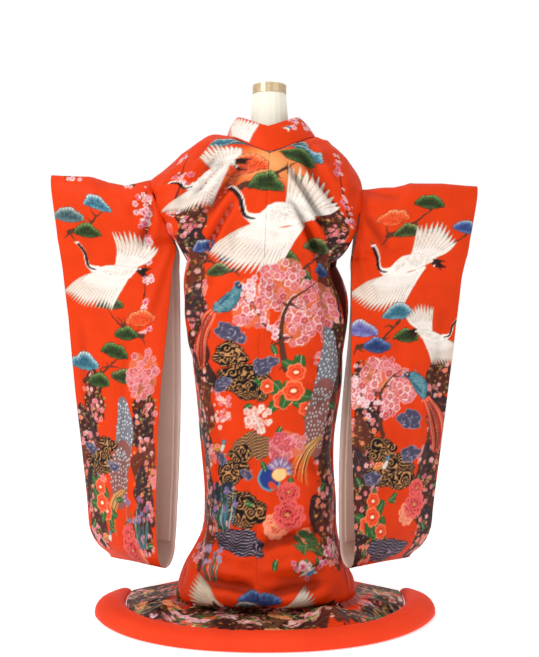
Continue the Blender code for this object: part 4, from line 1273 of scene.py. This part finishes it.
def dove(cv, x, y, size, way):
    """A small pale bird in flight."""
    k = size * way
    ribbon(
        cv, bend((x - k, y + 0.2 * size), (x + 0.9 * k, y), -0.12 * way, 6),
        [0.12, 0.32 * size, 0.12], PEARL, SHADE, 0.08, 0.9,
    )
    ribbon(
        cv, bend((x, y), (x - 0.5 * k, y - 0.9 * size), 0.2, 5), [0.30 * size, 0.2 * size, 0.06],
        WHITE, SHADE, 0.08, 0.9,
    )
    ribbon(
        cv, bend((x, y), (x + 0.5 * k, y - 0.7 * size), 0.2, 5), [0.26 * size, 0.18 * size, 0.06],
        AZURE, SHADE, 0.08, 0.9,
    )


def irises(cv, x, y, width, height, seed, tones=((112, 52, 128), MAGENTA, (96, 84, 160))):
    rng = dice(seed)
    for _ in range(int(width * 2.6)):
        dx = rng.uniform(-0.5, 0.5) * width
        top = rng.uniform(0.45, 1.0) * height
        foot, tip = (x + dx * 0.6, y + height * 0.5), (x + dx * 1.2, y + height * 0.5 - top)
        tone = (TEAL, LEAF, (60, 92, 112), (150, 172, 170))[rng.integers(4)]
        ribbon(cv, bend(foot, tip, rng.uniform(-0.12, 0.12), 6), [0.10, 0.20, 0.04], tone, lift=0.6)
        if rng.random() < 0.5:
            tone = tones[rng.integers(len(tones))]
            flower(
                cv, *tip, rng.uniform(0.7, 1.1), 3, tone, tint(tone, WHITE, 0.5), GOLD,
                rng.uniform(0, 3), 0.4,
            )


def haze(cv, x, y, rx, ry, turn, colour, seed, strength=0.6):
    """A soft dyed shade with no edge."""
    reach = max(rx, ry)
    box, gx, gy = cv.window((x - reach, y - reach), (x + reach, y + reach))
    if box is None:
        return
    c, s = math.cos(math.radians(turn)), math.sin(math.radians(turn))
    u, v = ((gx - x) * c + (gy - y) * s) / rx, (-(gx - x) * s + (gy - y) * c) / ry
    a = np.clip(1 - (u * u + v * v), 0, 1) * strength
    cv.rgb[box] += (np.array(colour, float) - cv.rgb[box]) * a[..., None]


def fill(cv, low, high, n, seed, gap=5.5):
    """Scattered pines, blossom, rocks and water where the design isn't placed one by one."""
    rng = dice(seed)
    pines = (GREEN_PINE, GREY_PINE, BLUE_PINE, RED_PINE, MOSS_PINE)
    placed = []
    for _ in range(n * 30):
        if len(placed) >= n:
            break
        x, y = rng.uniform(low[0], high[0]), rng.uniform(low[1], high[1])
        if any(math.hypot(x - a, y - b) < gap for a, b in placed):
            continue
        placed.append((x, y))
        kind = rng.integers(7)
        if kind <= 1:
            pine(
                cv, x, y, rng.uniform(7, 11), rng.uniform(4, 6), rng.uniform(-15, 15),
                pines[rng.integers(5)],
            )
        elif kind == 2:
            branch(cv, [(x - 4, y + 3), (x, y), (x + 4, y - 4)], 0.35, SOOT, 6, int(seed + x), 16)
        elif kind == 3:
            mass(cv, x, y, 5, 4, 20, 26, int(seed + x))
        elif kind == 4:
            water(cv, x, y, 6, 3.4, rng.uniform(-10, 10), int(abs(x) + 2), 3)
        elif kind == 5:
            peony(cv, x, y, 2.6, (206, 60, 50), BLUSH, int(seed + x))
            sprig(cv, x + 2.5, y + 1.5, 3, int(x), 6)
        else:
            rock(cv, x, y, 4.5, 2.6, rng.uniform(-40, 40), BARK, EARTH, int(abs(x)), 10)


def spot(x, y, way=1, size=1.0):
    """Places measured from a vignette's own middle, in centimetres, mirrored where way is -1."""
    return lambda dx, dy: (x + way * size * dx, y + size * dy)


def soaring_crane(cv, x, y, way=1, size=1.0):
    """A crane in flight: one wing raised, one swept down, the neck curving up ahead."""
    at = spot(x, y, way, size)
    fan(cv, [at(3, -1), at(9, -2)], [at(3, -11), at(10, -12), at(15, -7)], 11, 0.8 * size, bow=0.05 * way)
    crane(cv, at(9, -1), at(-3, 2), [at(-6, 0), at(-7, -4)], at(-9, -7), 2.4 * size, 90 - 70 * way)
    fan(
        cv, [at(-3, 2), at(2, 3), at(7, 1)], [at(-15, 8), at(-9, 12), at(1, 13)], 18, 0.75 * size,
        bow=0.05 * way,
    )
    neck(cv, [at(-3, 1), at(-6, 0), at(-7, -4), at(-9, -7)], 0.4 * size)


def pine_bank(cv, x, y, way, tones, size=1.0):
    """Clouds of pine, one above another, on a twisted trunk."""
    at = spot(x, y, way, size)
    branch(cv, [at(-7, 5), at(0, 3), at(6, -2)], 0.8 * size, BARK, 8, abs(x) + y)
    for k, tone in enumerate(tones):
        px, py = at((-6, 5, -1, 8)[k % 4], (0, -4, 5, 3)[k % 4])
        pine(cv, px, py, (11 - k) * size, (4.6 - 0.3 * k) * size, 5 * way, tone, 6)


def blossom_tree(cv, x, y, way, size, seed):
    """A leaning plum trunk under rounded clouds of blossom."""
    at = spot(x, y, way, size)
    kinds = ((PINK, BLUSH), (ROSE, BLUSH), (PINK, WHITE))
    for k, (dx, dy, r) in enumerate(((-8, -2, 5.5), (0, -8, 6.5), (8, -3, 7), (3, 3, 4.5))):
        px, py = at(dx, dy)
        mass(
            cv, px, py, r * size, 0.9 * r * size, 10 * way, int(8 * r), seed + k, 1.25, kinds,
            (214, 116, 82),
        )
    branch(cv, [at(2, 13), at(0, 4), at(2, -4), at(9, -9)], 0.9 * size, BARK, 10, seed)
    branch(
        cv, [at(0, 5), at(-6, 0), at(-10, -8)], 0.4, SOOT, 8, seed + 1, 32,
        ((BLUSH, WHITE), (WHITE, BLUSH)), 0.9,
    )


def stream(cv, x, y, way, size, seed, dark=BLACK, line=GOLD):
    """Dark water with gold eddies between two rocks."""
    at = spot(x, y, way, size)
    for dx, dy, rx, ry, swirls in ((0, 0, 9, 5, 7), (-5, -7, 5.5, 3.6, 3)):
        px, py = at(dx, dy)
        water(cv, px, py, rx * size, ry * size, 5 * way, seed + swirls, swirls, line, dark)
    for dx, dy, rx in ((-8, 1, 3.2), (6, -5, 3.8)):
        px, py = at(dx, dy)
        rock(cv, px, py, rx * size, 0.6 * rx * size, -14 * way, (70, 66, 88), (182, 174, 190), seed + rx)


def bush(cv, x, y, way, n, gap, seed, bloom):
    """Blooms set round a middle by the golden angle, over their leaves."""
    at = spot(x, y, way)
    for k in range(2 * n):
        a = 2.4 * k
        px, py = at(gap * 1.15 * math.sqrt(k) * math.cos(a), gap * 1.15 * math.sqrt(k) * math.sin(a))
        leaf(cv, px, py, 3.2, math.degrees(a) * way, LEAF, (222, 232, 204), 0.28)
    for k in reversed(range(n)):
        a = 2.4 * k
        px, py = at(gap * math.sqrt(k) * math.cos(a), gap * math.sqrt(k) * math.sin(a))
        bloom(cv, px, py, k, seed + k)


def red_camellia(cv, x, y, k, seed):
    camellia(cv, x, y, 3.0 - 0.2 * k, seed)


def rich_peony(cv, x, y, k, seed):
    dark, pale = (((150, 14, 24), (226, 92, 86)), ((206, 70, 44), (242, 150, 116)))[k % 2]
    peony(cv, x, y, 4.4 - 0.6 * k, dark, pale, seed)


def pheasant_perch(cv, x, y, way, seed):
    at = spot(x, y, way)
    rock(cv, *at(4, 7), 4.4, 2.8, 24, (70, 66, 88), (182, 174, 190), seed)
    pheasant(cv, at(6, -6), at(0, 0), [at(-1, 1), at(-5, 6), at(-7, 12), at(-7, 17)], seed, spread=2.3)


def peacock_train(cv, x, y, way, length, seed):
    """A hanging train of eyed feathers, silver above and rose below, ending in loose gold plumes."""
    at = spot(x, y, way)
    silver = ((198, 204, 210), (160, 168, 182), (196, 196, 200))
    rose = ((196, 176, 176), (196, 132, 122), (200, 110, 92))
    plumage(
        cv, [at(0, 0), at(1, length / 4), at(0, length / 2)], [1.6, 3.4, 3.4], 1.0, seed, silver,
        0.95, (122, 116, 124),
    )
    plumage(
        cv, [at(0, length / 2), at(-2, 0.75 * length), at(-2, length)], [3.2, 3.8, 2.8], 1.0,
        seed + 1, rose, 0.92, (140, 84, 78),
    )
    for k in range(10):
        line = bend(at(-1 + 0.2 * k, length - 3), at(-9 + 0.5 * k, length + 7 + 0.4 * k), 0.14 * way, 9)
        ribbon(cv, line, [0.08, 0.18, 0.06], (GOLD, OCHRE, STRAW, BARK)[k % 4], lift=0.8)


def phoenix(cv, x, y, way):
    """The head of a bird of good omen: a blue disc, a rayed crest and a gold cheek."""
    at = spot(x, y, way)
    blob(cv, x, y, 3.5, 3.5, 0, (38, 60, 128), 84, 0.06, (92, 150, 170), 0.6, 1.0)
    for k in range(18):
        a = math.radians(-170 + 11 * k)
        line = bend(at(3, -2), at(3 + 4 * math.cos(a), -2 + 4 * math.sin(a)), 0.06, 5)
        ribbon(cv, line, [0.2, 0.4, 0.1], (LILAC, (190, 160, 190), PEARL)[k % 3], (80, 60, 110), 0.09, 1.0)
    blob(cv, *at(3, -1), 2.2, 1.9, -10, (240, 204, 134), 85, 0.06, CORAL, 0.2, 1.0)
    blob(cv, *at(1, 2), 1.4, 1.0, 30, (214, 70, 40), 86, 0.1, lift=1.0)


def iris_pool(cv, x, y, way, seed):
    at = spot(x, y, way)
    thicket(cv, *at(-4, -1), 6, 6, 0, seed, (NAVY, (40, 84, 92), SOOT, LILAC, LEAF), (30, 40, 56))
    water(cv, *at(4, 0), 7, 5, 12, seed + 1, 6)
    irises(cv, *at(-4, 0), 8, 18, seed + 2, ((104, 40, 128), (140, 60, 150), (78, 66, 158)))
    water(cv, *at(2, 9), 9, 3.6, 6, seed + 3, 1, (150, 148, 172), (34, 30, 46))


def tail_fan(cv, x, y, way, size, pale=WHITE):
    """The end of a wing that comes in over the edge of the picture."""
    at = spot(x, y, way, size)
    fan(cv, [at(0, 0), at(1, 3)], [at(-7, -8), at(-10, -3), at(-10, 3)], 12, 0.8, pale, (180, 160, 136))


def undergrowth(cv, places, first, last, seed):
    """Dark thicket and small blossom down each side, broken by the red ground."""
    rng = dice(seed)
    bases = ((62, 32, 26), (44, 30, 36), (96, 44, 34), (52, 40, 44))
    kinds = ((ROSE, BLUSH), (PINK, WHITE), (CORAL, BLUSH))
    for k, y in enumerate(np.arange(first, last, 9.0)):
        for x in places:
            thicket(
                cv, x + rng.uniform(-2, 2), y, 4.4, 7.5, rng.uniform(-12, 12), seed + k,
                base=bases[k % 4],
            )
            mass(
                cv, x + rng.uniform(-3, 3), y + 4, 2.8, 3.6, 0, 18, seed + k, 0.8,
                (kinds[k % 3], (PINK, BLUSH)), None,
            )


def draw_back():
    """The robe's back: cranes over pines, blossom and pheasants, water and peonies, then the train."""
    cv = Canvas(-60, -1, 60, 178)
    fill(cv, (-58, 0), (-28, 168), 76, 3, 4.6)
    fill(cv, (28, 0), (58, 168), 76, 4, 4.6)
    undergrowth(cv, (-21, 21), 34, 126, 5)
    haze(cv, 0, 22, 14, 7, 0, STRAW, 1, 0.7)
    for k, tones in enumerate((TEAL_PINE, GREY_PINE, TEAL_PINE)):
        pine(cv, -5 + 6 * k, 12 + 1.5 * k, 12, 2.8, 6, tones, 6)
    pine_bank(cv, 1, 22, 1, (RED_PINE, GREEN_PINE, GREEN_PINE, MOSS_PINE), 1.1)
    pine_bank(cv, -14, 46, -1, (NAVY_PINE, BLUE_PINE, MOSS_PINE), 0.8)
    pine_bank(cv, 11, 46, 1, (GREEN_PINE, MOSS_PINE, GREEN_PINE, NAVY_PINE))
    for way in (-1, 1):
        line = [(way * 24, 30), (way * 20, 18), (way * 14, 8)]
        branch(cv, line, 0.3, SOOT, 10, 20 + way, 40, ((BLUSH, WHITE), (PINK, BLUSH)), 0.75)
    soaring_crane(cv, -15, 21, 1, 0.75)
    soaring_crane(cv, 2, 35, 1, 1.25)
    blossom_tree(cv, 6, 62, 1, 1.1, 40)
    pheasant_perch(cv, -13, 60, 1, 51)
    stream(cv, -4, 80, 1, 1.0, 54)
    bush(cv, 10, 82, 1, 5, 3.6, 60, red_camellia)
    mass(cv, -12, 88, 3, 5, 0, 28, 70, 0.8, ((BLUSH, WHITE), (PINK, BLUSH)), None)
    mass(cv, 0, 90, 4.5, 3.5, -20, 30, 72, 1.1, ((BLUSH, WHITE), (WHITE, BLUSH)), None)
    peacock_train(cv, 19, 66, 1, 32, 61)
    water(cv, -2, 98, 8, 3.6, -12, 75, 0, (190, 146, 96), (96, 66, 42))
    stream(cv, -9, 105, -1, 0.7, 77)
    mass(cv, 9, 97, 5, 3.6, -10, 32, 78, 1.3, ((PINK, BLUSH), (ROSE, PINK)), (214, 120, 96))
    duck(cv, -14, 99, 2.6, 1, 82)
    phoenix(cv, 4, 106, 1)
    iris_pool(cv, -8, 115, 1, 90)
    bush(cv, 9, 116, 1, 4, 4.4, 94, rich_peony)
    sprig(cv, 14, 126, 6, 88, 16, (LEAF, MOSS, (60, 84, 40)))
    branch(
        cv, [(22, 126), (15, 130), (9, 129)], 0.24, SOOT, 9, 98, 40, ((PINK, BLUSH), (BLUSH, WHITE)),
        0.75,
    )
    dove(cv, 14, 132, 2.6, 1)
    irises(cv, -15, 130, 6, 9, 96, ((134, 96, 170), LILAC, ROSE))
    pine(cv, 0, 139, 14, 3.8, -4, NAVY_PINE, 7)
    pine(cv, -4, 142, 10, 3.4, 6, GREY_PINE, 5)
    tail_fan(cv, -12, 142, 1, 1.1, (226, 212, 184))
    tail_fan(cv, 6, 143, -1, 1.0)
    draw_train(cv)
    return cv


def draw_train(cv):
    """The part of the skirt that lies on the floor, crowded to the hem."""
    rng = dice(7)
    for k in range(34):
        x = -56 + 112 * (k + 0.5) / 34
        base = ((60, 30, 24), (84, 40, 30), (44, 26, 24))[k % 3]
        thicket(cv, x, 157 + rng.uniform(-3, 3), 3.6, 13, rng.uniform(-10, 10), k, base=base)
    for x in (-34, -14, 0, 33):
        water(cv, x, 156, 6, 8, 0, abs(x), 4)
    for k in range(30):
        x, y = rng.uniform(-54, 54), rng.uniform(146, 168)
        if k % 3 == 0:
            peony(cv, x, y, rng.uniform(2.0, 3.2), (206, 70, 36), (244, 170, 116), k)
        elif k % 3 == 1:
            mass(cv, x, y, 4.0, 3.6, 0, 20, k, 1.0, ((PINK, BLUSH), (BLUSH, WHITE)), None)
        else:
            camellia(cv, x, y, 2.4, k)
        sprig(cv, x + 2, y, 3.4, k, 6)
    branch(
        cv, [(-26, 158), (-18, 160), (-9, 156)], 0.3, SOOT, 12, 8, 70,
        ((BLUSH, WHITE), (WHITE, PINK)), 1.0,
    )


def draw_left_sleeve():
    """Cranes and pines above, a peacock's train, water and irises below."""
    cv = Canvas(-1, -112, 34, 112)
    fill(cv, (1, -110), (32, -2), 60, 13, 4.8)
    undergrowth(cv, (5, 27), 64, 108, 15)
    pine_bank(cv, 23, 12, -1, (GREY_PINE, TEAL_PINE, GREEN_PINE), 0.9)
    branch(cv, [(2, 6), (8, 22), (6, 44)], 0.3, SOOT, 12, 21, 60, ((PINK, BLUSH), (BLUSH, WHITE)), 0.9)
    pine_bank(cv, 14, 40, 1, (RED_PINE, MOSS_PINE, GREEN_PINE), 0.9)
    soaring_crane(cv, 19, 26, -1, 0.95)
    pine_bank(cv, 22, 54, -1, (TEAL_PINE, GREEN_PINE, GREEN_PINE, MOSS_PINE))
    mass(cv, 7, 56, 5, 7, 0, 50, 22, 1.2, ((PINK, BLUSH), (ROSE, BLUSH)), (214, 116, 82))
    peacock_train(cv, 14, 64, -1, 28, 31)
    stream(cv, 24, 82, 1, 0.7, 33)
    bush(cv, 25, 94, 1, 3, 3.2, 34, red_camellia)
    irises(cv, 8, 98, 9, 14, 35)
    duck(cv, 24, 104, 2.4, -1, 36)
    bush(cv, 12, 106, 1, 3, 3.2, 37, rich_peony)
    return cv


def draw_right_sleeve():
    """Cranes over blue pines, blossom and a pheasant, then water and peonies."""
    cv = Canvas(-1, -112, 34, 112)
    fill(cv, (1, -110), (32, -2), 60, 14, 4.8)
    undergrowth(cv, (4, 29), 58, 108, 16)
    pine_bank(cv, 15, 10, 1, (RED_PINE, GREEN_PINE, MOSS_PINE), 0.9)
    pine_bank(cv, 27, 16, 1, (GREY_PINE, BLUE_PINE), 0.8)
    soaring_crane(cv, 14, 24, 1, 1.0)
    pine_bank(cv, 9, 42, 1, (LILAC_PINE, TEAL_PINE, NAVY_PINE, GREEN_PINE))
    soaring_crane(cv, 27, 44, -1, 0.7)
    blossom_tree(cv, 9, 62, 1, 0.85, 42)
    pheasant_perch(cv, 24, 62, -1, 52)
    stream(cv, 15, 84, 1, 1.0, 55)
    duck(cv, 10, 82, 2.8, 1, 83)
    bush(cv, 24, 94, 1, 3, 3.4, 57, rich_peony)
    bush(cv, 7, 96, 1, 4, 3.2, 58, red_camellia)
    water(cv, 14, 106, 9, 3.4, 4, 59, 1, (150, 148, 172), (34, 30, 46))
    return cv


def draw_collar():
    """The collar: scattered motifs down its fronts, a wing and blossom at the nape."""
    cv = Canvas(-112, 0, 112, 9)
    fill(cv, (-110, 0), (-24, 9), 24, 17, 4.5)
    fill(cv, (24, 0), (110, 9), 24, 18, 4.5)
    branch(cv, [(20, 1), (15, 4), (9, 7)], 0.2, SOOT, 8, 1, 34, ((BLUSH, WHITE), (PINK, WHITE)), 0.8)
    mass(cv, -12, 2, 4.4, 1.5, 0, 18, 2, 0.8, ((BLUSH, WHITE), (PINK, WHITE)), None)
    fan(cv, [(-12, 1), (-6, 1)], [(-18, 7), (-11, 8), (-3, 8)], 12, 0.8)
    dove(cv, 6, 5, 1.8, 1)
    return cv


BACK = draw_back()
SLEEVE_DESIGN = {-1: draw_left_sleeve(), +1: draw_right_sleeve()}
COLLAR_DESIGN = draw_collar()


def sample_body(s, t, grid):
    return BACK.sample(s, t)


def sample_collar(s, t, grid):
    return COLLAR_DESIGN.sample(s, t)


def sleeve_sampler(side):
    return lambda s, t, grid: SLEEVE_DESIGN[side].sample(s, t)


def make_hem(materials):
    """The padded hem roll, puckered where it is quilted to the skirt."""
    stations, around = ((420, 36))
    rng = np.random.default_rng(8)
    pucker = np.convolve(rng.normal(size=stations + 40), np.hanning(9), "same")[20:-20]
    pucker /= np.abs(pucker).max()
    slow = np.interp(np.arange(stations), np.linspace(0, stations, 24), rng.uniform(-1, 1, 24))
    points = []
    for i in range(stations):
        w = 2 * i / (stations - 1) - 1
        side, u = (-1 if w < 0 else 1), abs(w)
        p = ring_point(side, min(u, 1.0), LAST_RING)
        a = ring_point(side, max(u - 0.02, 0.0), LAST_RING)
        b = ring_point(side, min(u + 0.02, 1.0), LAST_RING)
        along = (b - a) * side
        along[2] = 0
        if u < 0.02:
            along = np.array((1.0, 0.0, 0.0))
        along /= np.linalg.norm(along)
        out = np.array((along[1], -along[0], 0.0))
        taper = 1 - 0.60 * max(0.0, (u - 0.66) / 0.34) ** 1.5
        middle = p + out * (HEM_SHIFT - HEM_HALF * (1 - taper))
        if i in (0, stations - 1):
            taper *= 0.4
        ring = []
        for k in range(around):
            a = 2 * math.pi * k / around
            across = -math.cos(a)
            up = math.sin(a)
            half = HEM_HALF * (1 + 0.010 * slow[i])
            if up >= 0:
                inner_side = max(-across, 0.0)
                height = up**0.8 * (HEM_HEIGHT - 0.006) * (1 + 0.03 * slow[i])
                height += 0.0022 * pucker[i] * up * (0.25 + inner_side)
                z = 0.006 + height
            else:
                z = 0.006 - 0.006 * min(1.0, -up * 2.5)
                across *= 1 - 0.10 * min(1.0, -up * 2.5)
            q = middle + out * across * half * taper
            q[2] = z * taper if z > 0.006 else z
            ring.append(q)
        points.append(ring)
    points = np.array(points).reshape(-1, 3)
    faces = []
    for i in range(stations - 1):
        for j in range(around):
            k = (j + 1) % around
            faces.append((i * around + j, i * around + k, (i + 1) * around + k, (i + 1) * around + j))
    faces.append(tuple(reversed(range(around))))
    faces.append(tuple((stations - 1) * around + j for j in range(around)))
    mesh = bpy.data.meshes.new("padded_hem")
    mesh.from_pydata([tuple(p) for p in points], [], faces)
    mesh.validate()
    mesh.shade_smooth()
    obj = show("padded_hem", mesh, materials, "hem_silk", "hem_roll")
    return obj


# ---------------------------------------------------------------- materials
class Nodes:
    """A small helper that adds linked nodes to a material."""

    def __init__(self, name):
        self.material = bpy.data.materials.new(name)
        self.material.use_nodes = True
        self.tree = self.material.node_tree
        self.shader = self.tree.nodes["Principled BSDF"]

    def add(self, kind, inputs=(), **settings):
        node = self.tree.nodes.new(kind)
        for key, value in settings.items():
            setattr(node, key, value)
        for key, value in dict(inputs).items():
            self.set(node, key, value)
        return node

    def set(self, node, key, value):
        if isinstance(value, bpy.types.NodeSocket):
            self.tree.links.new(value, node.inputs[key])
        else:
            node.inputs[key].default_value = value

    def ramp(self, fac, stops):
        node = self.add("ShaderNodeValToRGB", {"Fac": fac})
        ramp = node.color_ramp
        while len(ramp.elements) < len(stops):
            ramp.elements.new(0.5)
        for element, (at, value) in zip(ramp.elements, stops):
            element.position = at
            element.color = value if len(value) == 4 else (*value, 1.0)
        return node.outputs["Color"]

    def maths(self, operation, a, b):
        return self.add("ShaderNodeMath", {0: a, 1: b}, operation=operation).outputs["Value"]

    def noise(self, vector, scale, detail=2.0):
        node = self.add("ShaderNodeTexNoise", {"Vector": vector, "Scale": scale, "Detail": detail})
        return node.outputs["Fac"]

    def bump(self, height, distance, strength=1.0, normal=None):
        inputs = {"Height": height, "Distance": distance, "Strength": strength}
        node = self.add("ShaderNodeBump", inputs)
        if normal is not None:
            self.set(node, "Normal", normal)
        return node.outputs["Normal"]

    def place(self):
        return self.add("ShaderNodeNewGeometry").outputs["Position"]


def weave_height(n, place, scale):
    """A fine satin weave: long floats one way, broken by noise."""
    wave = n.add("ShaderNodeTexWave", {"Vector": place, "Scale": scale, "Distortion": 1.5, "Detail": 2.0})
    wave.bands_direction = "Z"
    return wave.outputs["Fac"]


def silk_material():
    """Figured silk: the drawn design with its painted crease shade, from the colour attribute, and couched
    threads where it is raised.
    """
    n = Nodes("figured_silk")
    place = n.place()
    design = n.add("ShaderNodeVertexColor", layer_name="design_and_crease_shade").outputs["Color"]
    thread = n.add("ShaderNodeAttribute", attribute_name="Thread").outputs["Fac"]
    grain = n.noise(place, 900.0)
    cloud = n.noise(place, 14.0, 3.0)
    tone = n.ramp(cloud, [(0.3, (0.93, 0.93, 0.93)), (0.7, (1.06, 1.06, 1.06))])
    fleck = n.ramp(grain, [(0.35, (0.86, 0.86, 0.86)), (0.65, (1.12, 1.12, 1.12))])
    both = n.add("ShaderNodeMix", {0: 1.0, 6: tone, 7: fleck}, data_type="RGBA", blend_type="MULTIPLY")
    final = n.add(
        "ShaderNodeMix", {0: 1.0, 6: design, 7: both.outputs[2]}, data_type="RGBA",
        blend_type="MULTIPLY",
    )
    n.set(n.shader, "Base Color", final.outputs[2])
    shine = n.maths("MULTIPLY_ADD", thread, -0.12)
    shine.node.inputs[2].default_value = 0.52
    n.set(n.shader, "Roughness", shine)
    weave = weave_height(n, place, 420.0)
    stitches = n.noise(place, 420.0)
    raised = n.maths("MULTIPLY", stitches, thread)
    first = n.bump(weave, 0.00010, 0.35)
    n.set(n.shader, "Normal", n.bump(raised, 0.00045, 0.7, first))
    n.shader.inputs["Specular IOR Level"].default_value = 0.10
    return n.material


def plain_silk(name, colour, dark, rough, weave=300.0, wrinkle=0.0006):
    """Plain satin with a fine weave and soft uneven tone."""
    n = Nodes(name)
    place = n.place()
    cloud = n.noise(place, 9.0, 3.0)
    n.set(n.shader, "Base Color", n.ramp(cloud, [(0.25, dark), (0.75, colour)]))
    n.shader.inputs["Roughness"].default_value = rough
    n.shader.inputs["Sheen Weight"].default_value = 0.15
    first = n.bump(weave_height(n, place, weave), 0.00012, 0.35)
    n.set(n.shader, "Normal", n.bump(n.noise(place, 38.0, 3.0), wrinkle, 0.6, first))
    return n.material


def hem_material():
    """Plain vermilion crepe with small puckers."""
    n = Nodes("hem_crepe")
    place = n.place()
    cloud = n.noise(place, 7.0, 3.0)
    n.set(
        n.shader, "Base Color",
        n.ramp(cloud, [(0.25, (0.78, 0.044, 0.010)), (0.75, (0.88, 0.058, 0.014))]),
    )
    n.shader.inputs["Roughness"].default_value = 0.62
    n.shader.inputs["Specular IOR Level"].default_value = 0.10
    first = n.bump(n.noise(place, 520.0), 0.00025, 0.5)
    n.set(n.shader, "Normal", n.bump(n.noise(place, 26.0, 2.0), 0.0022, 0.5, first))
    return n.material


def form_material():
    """Cream jersey over the form."""
    n = Nodes("cream_jersey")
    place = n.place()
    cloud = n.noise(place, 12.0, 3.0)
    n.set(n.shader, "Base Color", n.ramp(cloud, [(0.3, (0.86, 0.80, 0.66)), (0.7, (0.91, 0.86, 0.73))]))
    n.shader.inputs["Roughness"].default_value = 0.8
    n.set(n.shader, "Normal", n.bump(n.noise(place, 700.0), 0.00018, 0.5))
    return n.material


def brass_material():
    n = Nodes("brushed_brass")
    place = n.place()
    fine = n.noise(place, 160.0, 4.0)
    n.set(n.shader, "Base Color", n.ramp(fine, [(0.3, (0.58, 0.42, 0.24)), (0.7, (0.72, 0.56, 0.35))]))
    n.set(n.shader, "Roughness", n.ramp(fine, [(0.3, (0.32,) * 3), (0.7, (0.44,) * 3)]))
    n.shader.inputs["Metallic"].default_value = 0.55
    n.set(n.shader, "Normal", n.bump(fine, 0.00008, 0.4))
    return n.material


def wood_material(name, dark, light):
    n = Nodes(name)
    place = n.place()
    stretched = n.add(
        "ShaderNodeMapping", {"Vector": place, "Scale": (14.0, 90.0, 90.0)},
    ).outputs["Vector"]
    grain = n.noise(stretched, 2.2, 6.0)
    n.set(n.shader, "Base Color", n.ramp(grain, [(0.35, dark), (0.65, light)]))
    n.set(n.shader, "Roughness", n.ramp(grain, [(0.3, (0.40,) * 3), (0.7, (0.52,) * 3)]))
    n.set(n.shader, "Normal", n.bump(grain, 0.0002, 0.4))
    return n.material


def steel_material():
    n = Nodes("painted_steel")
    place = n.place()
    fine = n.noise(place, 300.0, 3.0)
    n.set(n.shader, "Base Color", n.ramp(fine, [(0.3, (0.50, 0.50, 0.51)), (0.7, (0.62, 0.62, 0.63))]))
    n.set(n.shader, "Roughness", n.ramp(fine, [(0.3, (0.34,) * 3), (0.7, (0.46,) * 3)]))
    n.shader.inputs["Metallic"].default_value = 0.85
    n.set(n.shader, "Normal", n.bump(fine, 0.00006, 0.3))
    return n.material


def dress(node, material):
    for slot in bpy.data.objects[node].material_slots:
        slot.material = material


# ---------------------------------------------------------------- floor, light and camera
def studio():
    bpy.ops.mesh.primitive_plane_add(size=14, location=(0, 2, -0.0005))
    floor = bpy.context.object
    floor.name = "studio_floor"
    n = Nodes("pale_floor")
    place = n.place()
    n.set(n.shader, "Base Color", n.ramp(n.noise(place, 2.0), [(0.3, (0.93,) * 3), (0.7, (0.95,) * 3)]))
    n.shader.inputs["Roughness"].default_value = 0.9
    n.shader.inputs["Emission Color"].default_value = (1.0, 1.0, 1.0, 1.0)
    n.shader.inputs["Emission Strength"].default_value = 0.46
    floor.data.materials.append(n.material)
    world = bpy.data.worlds.new("studio")
    bpy.context.scene.world = world
    world.use_nodes = True
    tree = world.node_tree
    around = tree.nodes["Background"]
    behind = tree.nodes.new("ShaderNodeBackground")
    both = tree.nodes.new("ShaderNodeMixShader")
    around.inputs["Color"].default_value = behind.inputs["Color"].default_value = (1.0, 1.0, 1.0, 1.0)
    around.inputs["Strength"].default_value = WORLD_LIGHT
    tree.links.new(tree.nodes.new("ShaderNodeLightPath").outputs["Is Camera Ray"], both.inputs[0])
    tree.links.new(around.outputs[0], both.inputs[1])
    tree.links.new(behind.outputs[0], both.inputs[2])
    tree.links.new(both.outputs[0], tree.nodes["World Output"].inputs["Surface"])
    for name, place, turn, size, power in LIGHTS:
        light = bpy.data.lights.new(name, "AREA")
        light.shape = "RECTANGLE"
        light.size, light.size_y = size
        light.energy = power
        lamp = bpy.data.objects.new(name, light)
        lamp.location = place
        lamp.rotation_euler = [math.radians(a) for a in turn]
        bpy.context.scene.collection.objects.link(lamp)
    camera = bpy.data.cameras.new("camera")
    camera.lens = 55.1
    camera.sensor_width = 36
    eye = bpy.data.objects.new("camera", camera)
    eye.matrix_world = Matrix.Translation((0.0, -2.9, 0.778)) @ Matrix.Rotation(math.radians(90), 4, "X")
    bpy.context.scene.collection.objects.link(eye)
    bpy.context.scene.camera = eye
    bpy.context.scene.view_settings.view_transform = "Standard"


def main():
    figured = silk_material()
    inner_silk = plain_silk("inner_silk", (0.42, 0.028, 0.012), (0.34, 0.020, 0.009), 0.5)
    lining = plain_silk("cream_lining", (0.84, 0.62, 0.52), (0.76, 0.54, 0.45), 0.42, wrinkle=0.0012)
    for side, word in ((-1, "left"), (+1, "right")):
        make_body(side, word, sample_body, [figured, inner_silk])
        make_okumi(side, word, sample_body, [figured, inner_silk])
        make_sleeve(side, word, sleeve_sampler(side), [figured, lining])
        make_lining(side, word, lining)
    make_collar(sample_collar, [figured, inner_silk])
    make_hem([hem_material()])
    dress("form_torso", form_material())
    dress("neck_band", brass_material())
    dress("neck_cap", wood_material("cap_wood", (0.70, 0.58, 0.40), (0.80, 0.70, 0.52)))
    steel = steel_material()
    dress("stand_pole", steel)
    dress("stand_base", steel)
    rod_wood = wood_material("rod_wood", (0.30, 0.18, 0.09), (0.48, 0.31, 0.17))
    dress("sleeve_rod_left", rod_wood)
    dress("sleeve_rod_right", rod_wood)
    studio()


main()
